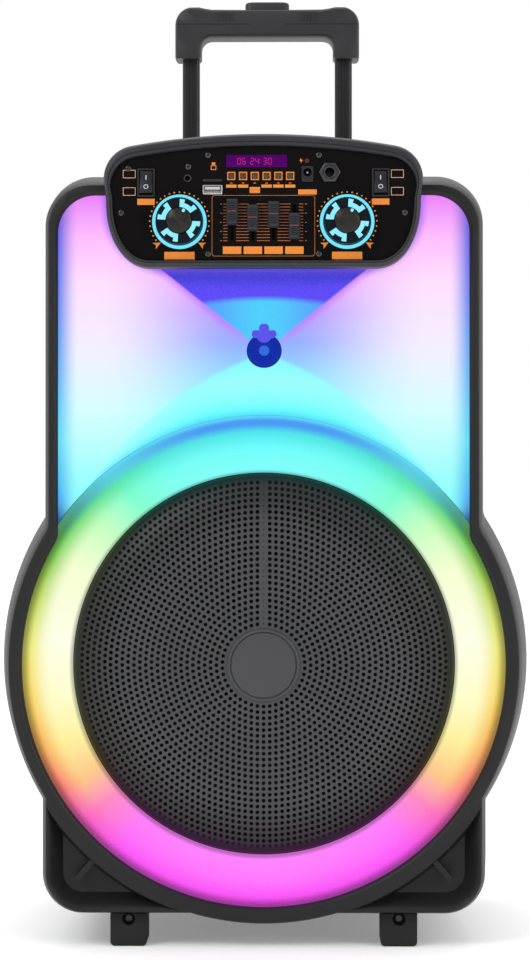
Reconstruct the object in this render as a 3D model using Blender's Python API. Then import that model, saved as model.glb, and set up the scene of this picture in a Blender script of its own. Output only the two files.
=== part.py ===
"""Party speaker on a trolley: a 12 inch woofer behind a lit ring, a lit tweeter horn, a control console,
a pull-out handle and two rear wheels.

All sizes below are millimetres. X is to the right, Z is up, and the front faces -Y. Depths are counted
from the front face of the front frame, positive towards the back. The origin is on the floor, in the
middle of the speaker's width and depth.
"""

import math

import bmesh
import bpy
from mathutils import Matrix, Vector

MM = 0.001
GAP = 0.3  # running and seating clearance between neighbouring pieces

# --- Body shell -----------------------------------------------------------------------------------
HALF_WIDTH = 171.0  # upper body, at the joint between front frame and rear cabinet
PANEL_HEIGHT = 171.0  # the lit horn above the round opening
SIDE_BAND = 16.0  # frame between the outside and the opening, at the sides
TOP_BAND = 24.0
RING_BAND = 23.0
RING_PROUD = 34.0  # how far the round bulge stands out from the upper body
RING_R = HALF_WIDTH + RING_PROUD
RING_Z = RING_R + 7.0  # the round bulge would stop this far above the floor
OPENING_HALF = HALF_WIDTH - SIDE_BAND
OPENING_RING = RING_R - RING_BAND
OPENING_TOP = RING_Z + OPENING_RING + PANEL_HEIGHT
OPENING_CORNER = 28.0
TOP_Z = OPENING_TOP + TOP_BAND
TOP_CORNER = 37.0
BLOCK_HALF = HALF_WIDTH + 2.0  # lower block that carries the feet
BLOCK_CORNER = 34.0
BASE_Z = 25.0
DIP_R = RING_Z - 17.0  # the round bulge reaches a little below the block
SHOULDER_FILLET = 14.0
WAIST_FILLET = 3.0

FRONT_DEPTH = 88.0
CABINET_DEPTH = 190.0
WALL = 3.2
CABINET_WALL = 4.0
FACE_THICK = 4.0
REBATE = 7.0  # step round the opening that the lit pieces sit in
BAND_DEPTH = 18.0
SIDE_DRAFT = 6.0
RING_DRAFT = 10.0
BEVEL = 3.6
BEVEL_DEPTH = 9.0
REAR_STEP = 0.5  # the rear cabinet starts this far inside the front frame
REAR_DRAFT = 9.5
REAR_ROUND = 12.0
POCKET_RIM = 12.0  # from the opening to the recess in a lower corner
POCKET_DEPTH = 14.0

# --- Light panel, ring diffuser, grille ----------------------------------------------------------------
PANEL_THICK = 2.5
PANEL_EDGE_DEPTH = 5.0
PANEL_SIDE_SLOPE = 0.226
PANEL_SKIRT_SLOPE = 0.615
PANEL_SKIRT_DEPTH = 9.5
PANEL_TOP_DEPTH = 6.6
PANEL_TOP_SLOPE = 0.2875
PANEL_LIP_DEPTH = 4.4
PANEL_RING = OPENING_RING + REBATE - 0.6  # where the panel ends over the lit ring
THROAT_Z = RING_Z + OPENING_RING + 56.0
THROAT_R = 13.4
LIGHT_WIDTH = 38.0  # lit ring between the opening and the grille
GRILLE_R = OPENING_RING - LIGHT_WIDTH
GRILLE_CREST = 2.0  # depth of the middle of the dome
GRILLE_THICK = 1.6
BADGE_R = 27.5
BADGE_PROUD = 1.9
DIFFUSER_THICK = 3.0
BAFFLE_DEPTH = 56.0
BAFFLE_THICK = 6.0

# --- Woofer and tweeter -----------------------------------------------------------------------------
WOOFER_HOLE = GRILLE_R - 4.0
WOOFER_FLANGE = WOOFER_HOLE + 10.0
SURROUND_OUT = WOOFER_HOLE - 3.0
SURROUND_IN = SURROUND_OUT - 18.0
CONE_NECK = 30.0
CONE_DEPTH = 34.0
CAP_R = 44.0
MAGNET_R = 62.0
MAGNET_THICK = 24.0
BASKET_DEPTH = 56.0
TWEETER_R = 22.0
TWEETER_LENGTH = 30.0

# --- Console ----------------------------------------------------------------------------------------
CONSOLE_PROUD = 20.0
CONSOLE_HALF = 119.0
CONSOLE_TOP = TOP_Z + 19.6
CONSOLE_BOTTOM = CONSOLE_TOP - 99.4
CONSOLE_CROWN = 557.0  # radius of the arched top
CONSOLE_CORNER = 25.0
CONSOLE_FLAT = 83.0  # half length of the flat bottom edge
CONSOLE_SIDE_Z = CONSOLE_TOP - 48.6
CONSOLE_TAPER = 1.7
BEZEL = 5.0
BEZEL_CROWN = 9.0
PLATE_SET_BACK = 3.0
PLATE_THICK = 2.5
LEDGE = 3.0
BOARD_THICK = 1.6
BOARD_DEPTH = -2.4
HUMP_DEPTH = 60.0
HUMP_DROP = 14.0

KNOB_X = 62.4
KNOB_Z = CONSOLE_TOP - 65.5
KNOB_R = 17.4
KNOB_CAP_R = 10.0
KNOB_HEIGHT = 12.0
KNOB_SHAFT_R = 3.0
LIGHT_RING_IN = 18.0
LIGHT_RING_OUT = 20.3
POT_R = 8.0

ROCKER_X = 87.3
ROCKER_Z = CONSOLE_TOP - 36.4
ROCKER_FRAME = (13.0, 21.2)
ROCKER_SIZE = (9.6, 17.0)
ROCKER_TILT = 10.0

FADER_PITCH = 15.45
FADER_Z = CONSOLE_TOP - 65.9
FADER_TRAVEL = 19.4
FADER_CAP = (8.5, 20.0, 6.0)
FADER_STEM = (1.6, 6.0)
FADER_REST = (7.7, 3.2, 5.7, -2.9)  # height of each fader above mid travel

BUTTON_PITCH = 8.76
BUTTON_MID_X = -1.9
BUTTON_Z = CONSOLE_TOP - 31.4
BUTTON_R = 2.1
BUTTON_COUNT = 6
BUTTON_PROUD = 1.4
BUTTON_TRAVEL = 0.7

DISPLAY = (-5.0, CONSOLE_TOP - 20.2, 45.2, 8.8)  # middle, width and height, as the next three
USB = (-37.8, CONSOLE_TOP - 41.6, 14.5, 6.9)
CARD_SLOT = (-37.3, CONSOLE_TOP - 34.6, 14.0, 1.2)
DC = (32.9, CONSOLE_TOP - 30.0, 8.8, 11.8)
AUX_X, AUX_Z, AUX_R = -56.4, CONSOLE_TOP - 33.1, 3.0
MIC_X, MIC_Z, MIC_R = 49.5, CONSOLE_TOP - 28.9, 4.7
MIC_NUT = 14.0

# --- Trolley handle, wheels, feet -------------------------------------------------------------------
TUBE_X = 64.3
TUBE_SIZE = (14.5, 12.5)
TUBE_BOTTOM = TOP_Z - 293.0
TUBE_TOP = TOP_Z + 146.0
TROLLEY_INSET = 22.3  # from the back of the cabinet to the middle of the tubes
SLEEVE_WALL = 2.0
SLEEVE_BOTTOM = TUBE_BOTTOM - 131.0  # room for the tubes when the handle is pushed in
SLEEVE_PROUD = 4.0
BRACKET_RISE = 35.0
BRACKET_HEIGHT = 24.0
GRIP_HALF = TUBE_X + 13.2
GRIP_LEG = 25.0
GRIP_TOP = TUBE_TOP + 15.0
GRIP_BOTTOM = GRIP_TOP - 43.0
GRIP_BAR = 26.0
GRIP_THICK = 30.0
RELEASE = (37.0, 17.0, 16.0)
RELEASE_PROUD = 5.8
RELEASE_TRAVEL = 5.0

WHEEL_R = 35.0
WHEEL_WIDTH = 24.0
WHEEL_X = BLOCK_HALF - 31.0
WHEEL_INSET = 38.3  # from the back of the cabinet to the axle
WELL_CLEAR = 5.0
AXLE_R = 4.0
NUT_R = 6.5
NUT_THICK = 3.0
FOOT_X = BLOCK_HALF - 71.2
FOOT_SIZE = (27.6, 34.0)
FOOT_DEPTH = 8.0
FOOT_EYE_R = 4.7

# --- Inside ------------------------------------------------------------------------------------------
BATTERY = (151.0, 65.0, 64.0)
BATTERY_INSET = 128.3  # from the back of the cabinet to the battery's front
STRAP = 2.0
HEATSINK = (90.0, 22.0, 52.0)
HEATSINK_Z = 80.0
AMP_BOARD = (120.0, 84.0)
PORT_R = 28.0
PORT_Z = TOP_Z - 119.0
PORT_LENGTH = 70.0

# --- Facets round a turned piece, by its size ---------------------------------------------------------
LARGE = 48
MEDIUM = 32
SMALL = 20
TINY = 12

# --- Worked out from the sizes above ------------------------------------------------------------------
FACE_PROUD = CONSOLE_PROUD - PLATE_SET_BACK + KNOB_HEIGHT
BACK_DEPTH = FRONT_DEPTH + GAP + CABINET_DEPTH
TROLLEY_DEPTH = BACK_DEPTH - TROLLEY_INSET
WHEEL_DEPTH = BACK_DEPTH - WHEEL_INSET
BATTERY_DEPTH = BACK_DEPTH - BATTERY_INSET
FRONT_Y = FACE_PROUD - (FACE_PROUD + BACK_DEPTH) / 2
PLATE_FRONT = -(CONSOLE_PROUD - PLATE_SET_BACK)
PLATE_BACK = PLATE_FRONT + PLATE_THICK


# --- Tools -------------------------------------------------------------------------------------------
def material(name, colour, roughness, metallic=0.0, glow=0.0):
    """A Principled BSDF of one colour; a lit plastic also gives light."""
    made = bpy.data.materials.new(name)
    made.use_nodes = True
    shader = made.node_tree.nodes["Principled BSDF"]
    shader.inputs["Base Color"].default_value = (*colour, 1.0)
    shader.inputs["Roughness"].default_value = roughness
    shader.inputs["Metallic"].default_value = metallic
    shader.inputs["Emission Color"].default_value = (*colour, 1.0)
    shader.inputs["Emission Strength"].default_value = glow
    return made


def point(x, depth, z):
    """A point of the speaker in metres, from its place across, its depth and its height."""
    return Vector((x * MM, (FRONT_Y + depth) * MM, z * MM))


def arc(x, z, radius, start, end, steps):
    """Points on a circle, from one angle to another, both ends included. Angles are degrees."""
    angles = [math.radians(start + (end - start) * i / steps) for i in range(steps + 1)]
    return [(x + radius * math.cos(a), z + radius * math.sin(a)) for a in angles]


def mirrored(right):
    """A closed outline from its right half, which runs from the bottom to the top."""
    left = [(-x, z) for x, z in reversed(right) if x > 1e-6]
    return right + left


def closed_mesh(bm):
    bmesh.ops.remove_doubles(bm, verts=bm.verts, dist=1e-7)
    bmesh.ops.recalc_face_normals(bm, faces=bm.faces)
    return bm


def loft(sections):
    """A solid through outlines of equally many points. Each section is (depth, outline)."""
    bm = bmesh.new()
    rings = [[bm.verts.new(point(x, depth, z)) for x, z in outline] for depth, outline in sections]
    for near, far in zip(rings, rings[1:]):
        for i in range(len(near)):
            j = (i + 1) % len(near)
            bm.faces.new((near[i], far[i], far[j], near[j]))
    bm.faces.new(rings[0])
    bm.faces.new(list(reversed(rings[-1])))
    return closed_mesh(bm)


def prism(outline, near, far):
    return loft([(near, outline), (far, outline)])


def turned(profile, x, z, steps=LARGE):
    """A closed profile of (radius, depth) turned about a line that runs front to back."""
    bm = bmesh.new()
    rings = []
    for radius, depth in profile:
        if radius < 1e-6:
            rings.append([bm.verts.new(point(x, depth, z))] * steps)
            continue
        around = [math.tau * i / steps for i in range(steps)]
        places = [(x + radius * math.cos(a), z + radius * math.sin(a)) for a in around]
        rings.append([bm.verts.new(point(px, depth, pz)) for px, pz in places])
    for near, far in zip(rings, rings[1:] + rings[:1]):
        for i in range(steps):
            j = (i + 1) % steps
            corners = list(dict.fromkeys((near[i], far[i], far[j], near[j])))
            if len(corners) > 2:
                bm.faces.new(corners)
    return closed_mesh(bm)


def rod(x, z, radius, near, far, steps=SMALL):
    return turned([(0, near), (radius, near), (radius, far), (0, far)], x, z, steps)


def block(x, depth, z, width, thick, height):
    """A box, given its middle across, its front depth and its bottom height."""
    bm = bmesh.new()
    bmesh.ops.create_cube(bm, size=1.0)
    middle = point(x, depth + thick / 2, z + height / 2)
    size = Vector((width, thick, height)) * MM
    bmesh.ops.transform(bm, matrix=Matrix.Translation(middle) @ Matrix.Diagonal((*size, 1.0)), verts=bm.verts)
    return closed_mesh(bm)


def crosswise(x0, x1, depth, z, radii, steps=TINY):
    """A round solid about a line that runs left to right, stepped along its length by radii."""
    bm = bmesh.new()
    rings = []
    for share, radius in radii:
        x = x0 + (x1 - x0) * share
        turns = [math.tau * i / steps for i in range(steps)]
        places = [(depth + radius * math.cos(a), z + radius * math.sin(a)) for a in turns]
        rings.append([bm.verts.new(point(x, py, pz)) for py, pz in places])
    for near, far in zip(rings, rings[1:]):
        for i in range(steps):
            j = (i + 1) % steps
            bm.faces.new((near[i], far[i], far[j], near[j]))
    bm.faces.new(rings[0])
    bm.faces.new(list(reversed(rings[-1])))
    return closed_mesh(bm)


def upright(x, depth, width, thick, radius, low, high):
    """A vertical bar with a rounded rectangular section about the line (x, depth)."""
    bm = bmesh.new()
    corners = []
    for sx, sy, start in ((1, 1, 0), (-1, 1, 90), (-1, -1, 180), (1, -1, 270)):
        cx = x + sx * (width / 2 - radius)
        cy = depth + sy * (thick / 2 - radius)
        corners += arc(cx, cy, radius, start, start + 90, 3)
    low_ring = [bm.verts.new(point(px, py, low)) for px, py in corners]
    high_ring = [bm.verts.new(point(px, py, high)) for px, py in corners]
    for i in range(len(corners)):
        j = (i + 1) % len(corners)
        bm.faces.new((low_ring[i], low_ring[j], high_ring[j], high_ring[i]))
    bm.faces.new(list(reversed(low_ring)))
    bm.faces.new(high_ring)
    return closed_mesh(bm)


def placed(name, bm, finish, origin=None):
    """The object made from a solid, its origin on its joint's axis where it has one."""
    origin = origin or Vector((0, 0, 0))
    bmesh.ops.translate(bm, vec=-origin, verts=bm.verts)
    mesh = bpy.data.meshes.new(name)
    bm.to_mesh(mesh)
    bm.free()
    obj = bpy.data.objects.new(name, mesh)
    obj.location = origin
    if finish is not None:
        mesh.materials.append(finish)
        mesh.shade_smooth()
        mesh.set_sharp_from_angle(angle=math.radians(35))
    bpy.context.scene.collection.objects.link(obj)
    return obj


def carve(obj, bm, operation="DIFFERENCE"):
    """A Boolean with a helper solid that is never rendered."""
    helper = placed(f"{obj.name}_tool_{len(obj.modifiers)}", bm, None)
    helper.hide_render = True
    helper.display_type = "WIRE"
    change = obj.modifiers.new(operation.lower(), "BOOLEAN")
    change.operation = operation
    change.solver = "EXACT"
    change.object = helper


def fuse(obj, bm):
    carve(obj, bm, "UNION")


# --- Outlines ----------------------------------------------------------------------------------------
def waist(edge, radius, fillet, side):
    """The fillet between an upright edge and the round bulge, from the bulge to the edge.

    side is 1 above the middle of the bulge and -1 below it.
    """
    rise = math.sqrt((radius + fillet) ** 2 - (edge + fillet) ** 2)
    lean = math.degrees(math.atan2(rise, edge + fillet))
    points = arc(edge + fillet, RING_Z + side * rise, fillet, 180 + side * lean, 180, 2)
    return lean, points


def body_outline(side_in, ring_in, top_in=None, base_in=0.0):
    """The outside of the body, drawn in by the given amounts."""
    top_in = side_in if top_in is None else top_in
    half, top = HALF_WIDTH - side_in, TOP_Z - top_in
    ring, block_half = RING_R - ring_in, BLOCK_HALF - side_in
    base, dip = BASE_Z + base_in, DIP_R - base_in
    corner, low_corner = TOP_CORNER - side_in * 0.6, BLOCK_CORNER - side_in * 0.6
    dip_angle = math.degrees(math.asin((RING_Z - base) / dip))
    low_lean, low_fillet = waist(block_half, ring, WAIST_FILLET, -1)
    high_lean, high_fillet = waist(half, ring, SHOULDER_FILLET, 1)
    right = arc(0, RING_Z, dip, -90, -dip_angle, 2)
    right += arc(block_half - low_corner, base + low_corner, low_corner, -90, 0, 4)
    right += list(reversed(low_fillet))
    right += arc(0, RING_Z, ring, -low_lean, high_lean, 9)[1:-1]
    right += high_fillet
    right += arc(half - corner, top - corner, corner, 0, 90, 5)
    return mirrored(right)


def keyhole_outline(grow=0.0):
    """The opening for the light panel and the woofer ring, grown by an even amount."""
    half, top = OPENING_HALF + grow, OPENING_TOP + grow
    ring, corner = OPENING_RING + grow, OPENING_CORNER + grow
    lean, fillet = waist(half, ring, SHOULDER_FILLET, 1)
    right = arc(0, RING_Z, ring, -90, lean, 15)[:-1] + fillet
    right += arc(half - corner, top - corner, corner, 0, 90, 5)
    return mirrored(right)


def console_outline(inset=0.0, crown_inset=None):
    """The console: flat bottom, swept lower corners, arched top."""
    crown_inset = inset if crown_inset is None else crown_inset
    top, bottom = CONSOLE_TOP - crown_inset, CONSOLE_BOTTOM + inset
    half, corner = CONSOLE_HALF - inset, CONSOLE_CORNER - inset * 0.6
    wide, high = half - CONSOLE_TAPER - CONSOLE_FLAT, CONSOLE_SIDE_Z - bottom
    right = []
    for i in range(7):
        turn = math.radians(90 * i / 6)
        x = CONSOLE_FLAT + wide * math.sin(turn) ** 0.9
        right.append((x, CONSOLE_SIDE_Z - high * math.cos(turn) ** 0.9))
    crown_z = top - CONSOLE_CROWN
    corner_z = crown_z + math.sqrt((CONSOLE_CROWN - corner) ** 2 - (half - corner) ** 2)
    meet = math.degrees(math.atan2(corner_z - crown_z, half - corner))
    right += arc(half - corner, corner_z, corner, 0, meet, 5)
    right += arc(0, crown_z, CONSOLE_CROWN, meet, 90, 5)[1:]
    return mirrored(right)


# --- Shells -------------------------------------------------------------------------------------------
def frame_section(depth, inset=0.0):
    """The front frame's outside at a depth: bevelled at the face, then drafted to the joint."""
    if depth < BEVEL_DEPTH:
        bevel = BEVEL * (1 - depth / BEVEL_DEPTH)
        side, ring, base = SIDE_DRAFT + bevel, RING_DRAFT + bevel, bevel * 0.6
    else:
        share = (FRONT_DEPTH - depth) / (FRONT_DEPTH - BEVEL_DEPTH)
        side, ring, base = SIDE_DRAFT * share, RING_DRAFT * share, 0.0
    return body_outline(side + inset, ring + inset, 2.2 * side + inset, base + inset)


def corner_pocket(side, inset):
    """The three-sided recess between the ring and a lower corner, as an outline."""
    half, base = BLOCK_HALF - SIDE_DRAFT - inset, BASE_Z + inset
    rim = OPENING_RING + POCKET_RIM + inset * 0.35
    low_x = math.sqrt(rim**2 - (RING_Z - base) ** 2)
    high_z = RING_Z - math.sqrt(rim**2 - half**2)
    start = math.degrees(math.atan2(high_z - RING_Z, half))
    end = math.degrees(math.atan2(base - RING_Z, low_x))
    corner = BLOCK_CORNER - SIDE_DRAFT * 0.6 - inset
    outline = arc(0, RING_Z, rim, start, end, 4)
    outline += arc(half - corner, base + corner, corner, -90, 0, 3)
    return [(side * x, z) for x, z in outline]


def make_front_frame(finish):
    """The front shell: face band, drafted wall, recessed lower corners and the hump behind the console."""
    depths = (0.0, 3.0, BEVEL_DEPTH, FRONT_DEPTH)
    frame = placed("front_frame", loft([(d, frame_section(d)) for d in depths]), finish)
    hump = [(0.0, console_outline(2.0)), (HUMP_DEPTH, console_outline(16.0, HUMP_DROP))]
    hump = [(d, [(x, max(z, OPENING_TOP + 4.0)) for x, z in outline]) for d, outline in hump]
    fuse(frame, loft(hump))
    inner = [(BAND_DEPTH, frame_section(BAND_DEPTH, WALL))]
    inner += [(FRONT_DEPTH + 1, frame_section(FRONT_DEPTH, WALL))]
    carve(frame, loft(inner))
    carve(frame, prism(keyhole_outline(), -1.0, BAND_DEPTH + 1))
    carve(frame, prism(keyhole_outline(REBATE), FACE_THICK, BAND_DEPTH + 1))
    carve(frame, prism(console_outline(12.0, 18.0), -1.0, BAND_DEPTH - 4.0))
    for side in (1, -1):
        carve(frame, loft([(-1.0, corner_pocket(side, 4.0)), (POCKET_DEPTH, corner_pocket(side, 11.0))]))
    return frame


def cabinet_section(depth, inset=0.0):
    """The rear cabinet's outside: it narrows towards the back and rounds off at the end."""
    share = (depth - FRONT_DEPTH) / CABINET_DEPTH
    shrink = REAR_STEP + REAR_DRAFT * share
    left = BACK_DEPTH - depth
    if left < REAR_ROUND:
        shrink += REAR_ROUND - math.sqrt(max(REAR_ROUND**2 - (REAR_ROUND - left) ** 2, 0.0))
    return body_outline(shrink + inset, shrink + inset, shrink + inset, inset)


def well_box(side, grow):
    """The space round a wheel, open to the side, the floor and the back."""
    inner = WHEEL_X - WHEEL_WIDTH / 2 - WELL_CLEAR - grow
    outer = HALF_WIDTH + 40.0
    near = WHEEL_DEPTH - WHEEL_R - WELL_CLEAR - grow
    far = BACK_DEPTH + 10.0
    high = 2 * WHEEL_R + WELL_CLEAR + grow
    return block(side * (inner + outer) / 2, near, -10.0, outer - inner, far - near, high + 10.0)


def make_rear_cabinet(finish):
    """The rear shell with its wheel wells, and holes for the trolley sleeves, the port and the axle."""
    start = FRONT_DEPTH + GAP
    last = BACK_DEPTH
    outer_depths = (start, last - REAR_ROUND, last - 8.0, last - 4.0, last - 1.5, last)
    cabinet = placed("rear_cabinet", loft([(d, cabinet_section(d)) for d in outer_depths]), finish)
    inner = [(start - 1.0, cabinet_section(start, CABINET_WALL))]
    inner += [(last - REAR_ROUND - 2.0, cabinet_section(last - REAR_ROUND - 2.0, CABINET_WALL))]
    inner += [(last - CABINET_WALL, cabinet_section(last - 8.0, CABINET_WALL))]
    hollow = placed("cabinet_hollow", loft(inner), None)
    hollow.hide_render = True
    hollow.display_type = "WIRE"
    for side in (1, -1):
        carve(hollow, well_box(side, CABINET_WALL))
    emptied = cabinet.modifiers.new("hollow", "BOOLEAN")
    emptied.operation = "DIFFERENCE"
    emptied.solver = "EXACT"
    emptied.object = hollow
    for side in (1, -1):
        carve(cabinet, well_box(side, 0.0))
        carve(cabinet, sleeve_bar(side, GAP, TOP_Z - 40.0, TOP_Z + 20.0))
    carve(cabinet, rod(0, PORT_Z, PORT_R + GAP, last - 12.0, last + 4.0, MEDIUM))
    reach = WHEEL_X - WHEEL_WIDTH / 2
    carve(cabinet, crosswise(-reach, reach, WHEEL_DEPTH, WHEEL_R, [(0, AXLE_R + GAP), (1, AXLE_R + GAP)]))
    return cabinet


# --- Lit pieces and grille -------------------------------------------------------------------------------
def horn_depth(x, z):
    """Depth of the light panel: the shallowest of its sides, its top slope and the skirt over the ring."""
    side = PANEL_EDGE_DEPTH + PANEL_SIDE_SLOPE * (OPENING_HALF - abs(x))
    roof = PANEL_TOP_DEPTH + PANEL_TOP_SLOPE * (OPENING_TOP - z)
    skirt = PANEL_SKIRT_DEPTH + PANEL_SKIRT_SLOPE * (math.hypot(x, z - RING_Z) - PANEL_RING)
    return max(min(side, roof, skirt), PANEL_LIP_DEPTH)


def panel_edge():
    """The light panel's edge: the upper part of the rebate, closed below by an arc over the ring."""
    half = OPENING_HALF + REBATE - GAP
    top = OPENING_TOP + REBATE - GAP
    corner = OPENING_CORNER + REBATE - GAP
    low_angle = math.degrees(math.acos((half - 1.0) / PANEL_RING))
    right = arc(0, RING_Z, PANEL_RING, 90, low_angle, 10)
    right += [(half, RING_Z + PANEL_RING * math.sin(math.radians(low_angle)) + 6.0)]
    right += [(half, THROAT_Z + rise) for rise in (-50.0, 0.0, 50.0)]
    right += arc(half - corner, top - corner, corner, 0, 90, 5)
    right += [(half * share, top) for share in (0.5, 0.25)] + [(0.0, top)]
    return mirrored(right)[:-1] if right[-1][0] > 1e-6 else mirrored(right)


def make_light_panel(finish):
    """A faceted translucent horn with an even wall, open at the tweeter throat."""
    shares = (0.0, 0.25, 0.5, 0.75, 1.0)
    bm = bmesh.new()
    rows = {"front": [], "back": []}
    edge = panel_edge()
    for ex, ez in edge:
        angle = math.atan2(ez - THROAT_Z, ex)
        tx, tz = THROAT_R * math.cos(angle), THROAT_Z + THROAT_R * math.sin(angle)
        places = [(tx + (ex - tx) * s, tz + (ez - tz) * s) for s in shares]
        rows["front"].append([bm.verts.new(point(x, horn_depth(x, z), z)) for x, z in places])
        rows["back"].append([bm.verts.new(point(x, horn_depth(x, z) + PANEL_THICK, z)) for x, z in places])
    for i in range(len(edge)):
        j = (i + 1) % len(edge)
        for skin in ("front", "back"):
            for k in range(len(shares) - 1):
                bm.faces.new((rows[skin][i][k], rows[skin][j][k], rows[skin][j][k + 1], rows[skin][i][k + 1]))
        for k in (0, len(shares) - 1):
            bm.faces.new((rows["front"][i][k], rows["front"][j][k], rows["back"][j][k], rows["back"][i][k]))
    return placed("light_panel", closed_mesh(bm), finish)


def make_ring_diffuser(finish):
    """The lit ring: a crowned strip whose outer lip sits in the frame's rebate."""
    inner, outer = GRILLE_R + 0.9, OPENING_RING + REBATE - 1.0
    thick = DIFFUSER_THICK
    front = [(inner, 24.0), (inner, 13.0), (inner + 8, 8.6), (inner + 20, 7.6), (inner + 33, 10.8)]
    front += [(outer, 16.0)]
    back = [(outer, 16.0 + thick), (inner + 32, 11.0 + thick), (inner + 20, 7.8 + thick)]
    back += [(inner + 9, 8.8 + thick), (inner + thick, 15.0), (inner + thick, 24.0)]
    return placed("ring_diffuser", turned(front + back, 0, RING_Z), finish)


def make_grille(finish):
    """A shallow dome of sheet steel; its skirt turns back inside the lit ring."""
    edge, thick = GRILLE_R, GRILLE_THICK
    outside = [(0, GRILLE_CREST), (edge - 74, 2.6), (edge - 34, 4.6), (edge - 12, 9.6), (edge - 3.5, 15.6)]
    outside += [(edge, 24.0)]
    inside = [(edge - thick, 24.0), (edge - 5.1, 16.4), (edge - 13.2, 10.9), (edge - 34.6, 4.6 + thick)]
    inside += [(edge - 74, 2.6 + thick), (0, GRILLE_CREST + thick)]
    return placed("woofer_grille", turned(outside + inside, 0, RING_Z), finish)


def make_grille_badge(finish):
    """A plain disc with a raised rim on the middle of the grille."""
    front = GRILLE_CREST - BADGE_PROUD
    profile = [(0, front + 0.4), (BADGE_R - 3.0, front + 0.4), (BADGE_R - 2.6, front), (BADGE_R - 0.6, front)]
    seat = GRILLE_CREST - GAP
    profile += [(BADGE_R, front + 0.5), (BADGE_R, seat), (0, seat)]
    return placed("grille_badge", turned(profile, 0, RING_Z, MEDIUM), finish)


def make_inner_baffle(finish):
    """The board behind the lit pieces: it carries the woofer, the tweeter and the ring's lights."""
    fit = WALL + GAP
    sections = [(d, frame_section(BAFFLE_DEPTH, fit)) for d in (BAFFLE_DEPTH, BAFFLE_DEPTH + BAFFLE_THICK)]
    baffle = placed("inner_baffle", loft(sections), finish)
    near, far = BAFFLE_DEPTH - 1, BAFFLE_DEPTH + BAFFLE_THICK + 1
    carve(baffle, rod(0, RING_Z, WOOFER_HOLE, near, far, LARGE))
    carve(baffle, rod(0, THROAT_Z, TWEETER_R + 2 * GAP, near, far, SMALL))
    return baffle


# --- Drivers --------------------------------------------------------------------------------------------
def make_woofer(steel, paper, rubber, ferrite):
    """The woofer's basket, magnet, surround, cone and dust cap. The cone's origin is on its own axis."""
    seat = BAFFLE_DEPTH - GAP
    floor = BAFFLE_DEPTH + BASKET_DEPTH
    profile = [(WOOFER_FLANGE, seat - 3.0), (WOOFER_FLANGE, seat), (WOOFER_HOLE - 1.0, seat)]
    profile += [(WOOFER_HOLE - 4.0, seat + 14.0), (MAGNET_R + 8, floor), (CONE_NECK - 10, floor)]
    profile += [(CONE_NECK - 10, floor - 3.0), (MAGNET_R + 6, floor - 3.0), (WOOFER_HOLE - 7.0, seat + 13.0)]
    profile += [(SURROUND_OUT - 2.0, seat - 3.0)]
    placed("woofer_basket", turned(profile, 0, RING_Z, MEDIUM), steel)
    back = floor + GAP
    magnet = [(0, back), (MAGNET_R, back), (MAGNET_R, back + MAGNET_THICK), (0, back + MAGNET_THICK)]
    placed("woofer_magnet", turned(magnet, 0, RING_Z, MEDIUM), ferrite)
    rest = seat - 3.0 - GAP
    roll = [(SURROUND_OUT + 5, rest - 1.5), (SURROUND_OUT + 5, rest), (SURROUND_OUT - 3, rest)]
    roll += [(SURROUND_OUT - 6, rest - 5), (SURROUND_IN + 6, rest - 5), (SURROUND_IN + 2, rest)]
    roll += [(SURROUND_IN, rest), (SURROUND_IN, rest - 2), (SURROUND_IN + 4, rest - 6.8)]
    roll += [(SURROUND_OUT - 5, rest - 6.8), (SURROUND_OUT - 1, rest - 1.5)]
    placed("woofer_surround", turned(roll, 0, RING_Z, MEDIUM), rubber)
    lip = SURROUND_IN - GAP
    cone = [(lip, rest - 2.0), (lip, rest), (lip - 3, rest + 1.2), (CONE_NECK + 2, rest + CONE_DEPTH)]
    cone += [(CONE_NECK + 2, rest + CONE_DEPTH + 10), (CONE_NECK, rest + CONE_DEPTH + 10)]
    cone += [(CONE_NECK, rest + CONE_DEPTH - 1), (lip - 4, rest - 0.6)]
    origin = point(0, rest, RING_Z)
    placed("woofer_cone", turned(cone, 0, RING_Z, MEDIUM), paper, origin)
    slope = CONE_DEPTH / (lip - 4 - CONE_NECK)
    cap_rim = rest - 1.0 + slope * (lip - 4 - CAP_R) - 0.5
    cap = [(0, cap_rim - 15), (CAP_R * 0.5, cap_rim - 11.5), (CAP_R * 0.85, cap_rim - 4.5), (CAP_R, cap_rim)]
    cap += [(CAP_R - 2, cap_rim), (CAP_R * 0.8, cap_rim - 3), (CAP_R * 0.45, cap_rim - 9.5)]
    cap += [(0, cap_rim - 13)]
    placed("dust_cap", turned(cap, 0, RING_Z, SMALL), paper, origin)


def make_tweeter(steel, lens):
    """The horn driver behind the light panel's throat, and the lit disc in the throat."""
    throat = horn_depth(0, THROAT_Z + THROAT_R)
    snout = throat + PANEL_THICK + GAP
    seat = BAFFLE_DEPTH - GAP
    profile = [(0, snout), (THROAT_R - 1, snout), (THROAT_R - 1, seat - 4), (TWEETER_R + 10, seat - 4)]
    profile += [(TWEETER_R + 10, seat), (TWEETER_R, seat), (TWEETER_R, seat + TWEETER_LENGTH)]
    profile += [(0, seat + TWEETER_LENGTH)]
    placed("tweeter_driver", turned(profile, 0, THROAT_Z, SMALL), steel)
    radius = THROAT_R - GAP - 0.2
    disc = [(0, throat - 1.4), (3.6, throat - 1.2), (4.4, throat), (radius - 1.2, throat)]
    disc += [(radius, throat + 0.6), (radius, snout - GAP), (0, snout - GAP)]
    placed("tweeter_lens", turned(disc, 0, THROAT_Z, SMALL), lens)


def make_ring_board(finish):
    """The annular board with the ring's lights, on the baffle outside the woofer's flange."""
    inner, outer = WOOFER_FLANGE + 2.0, OPENING_RING
    far = BAFFLE_DEPTH - GAP
    profile = [(inner, far - BOARD_THICK), (outer, far - BOARD_THICK), (outer, far), (inner, far)]
    return placed("ring_light_board", turned(profile, 0, RING_Z, MEDIUM), finish)


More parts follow.
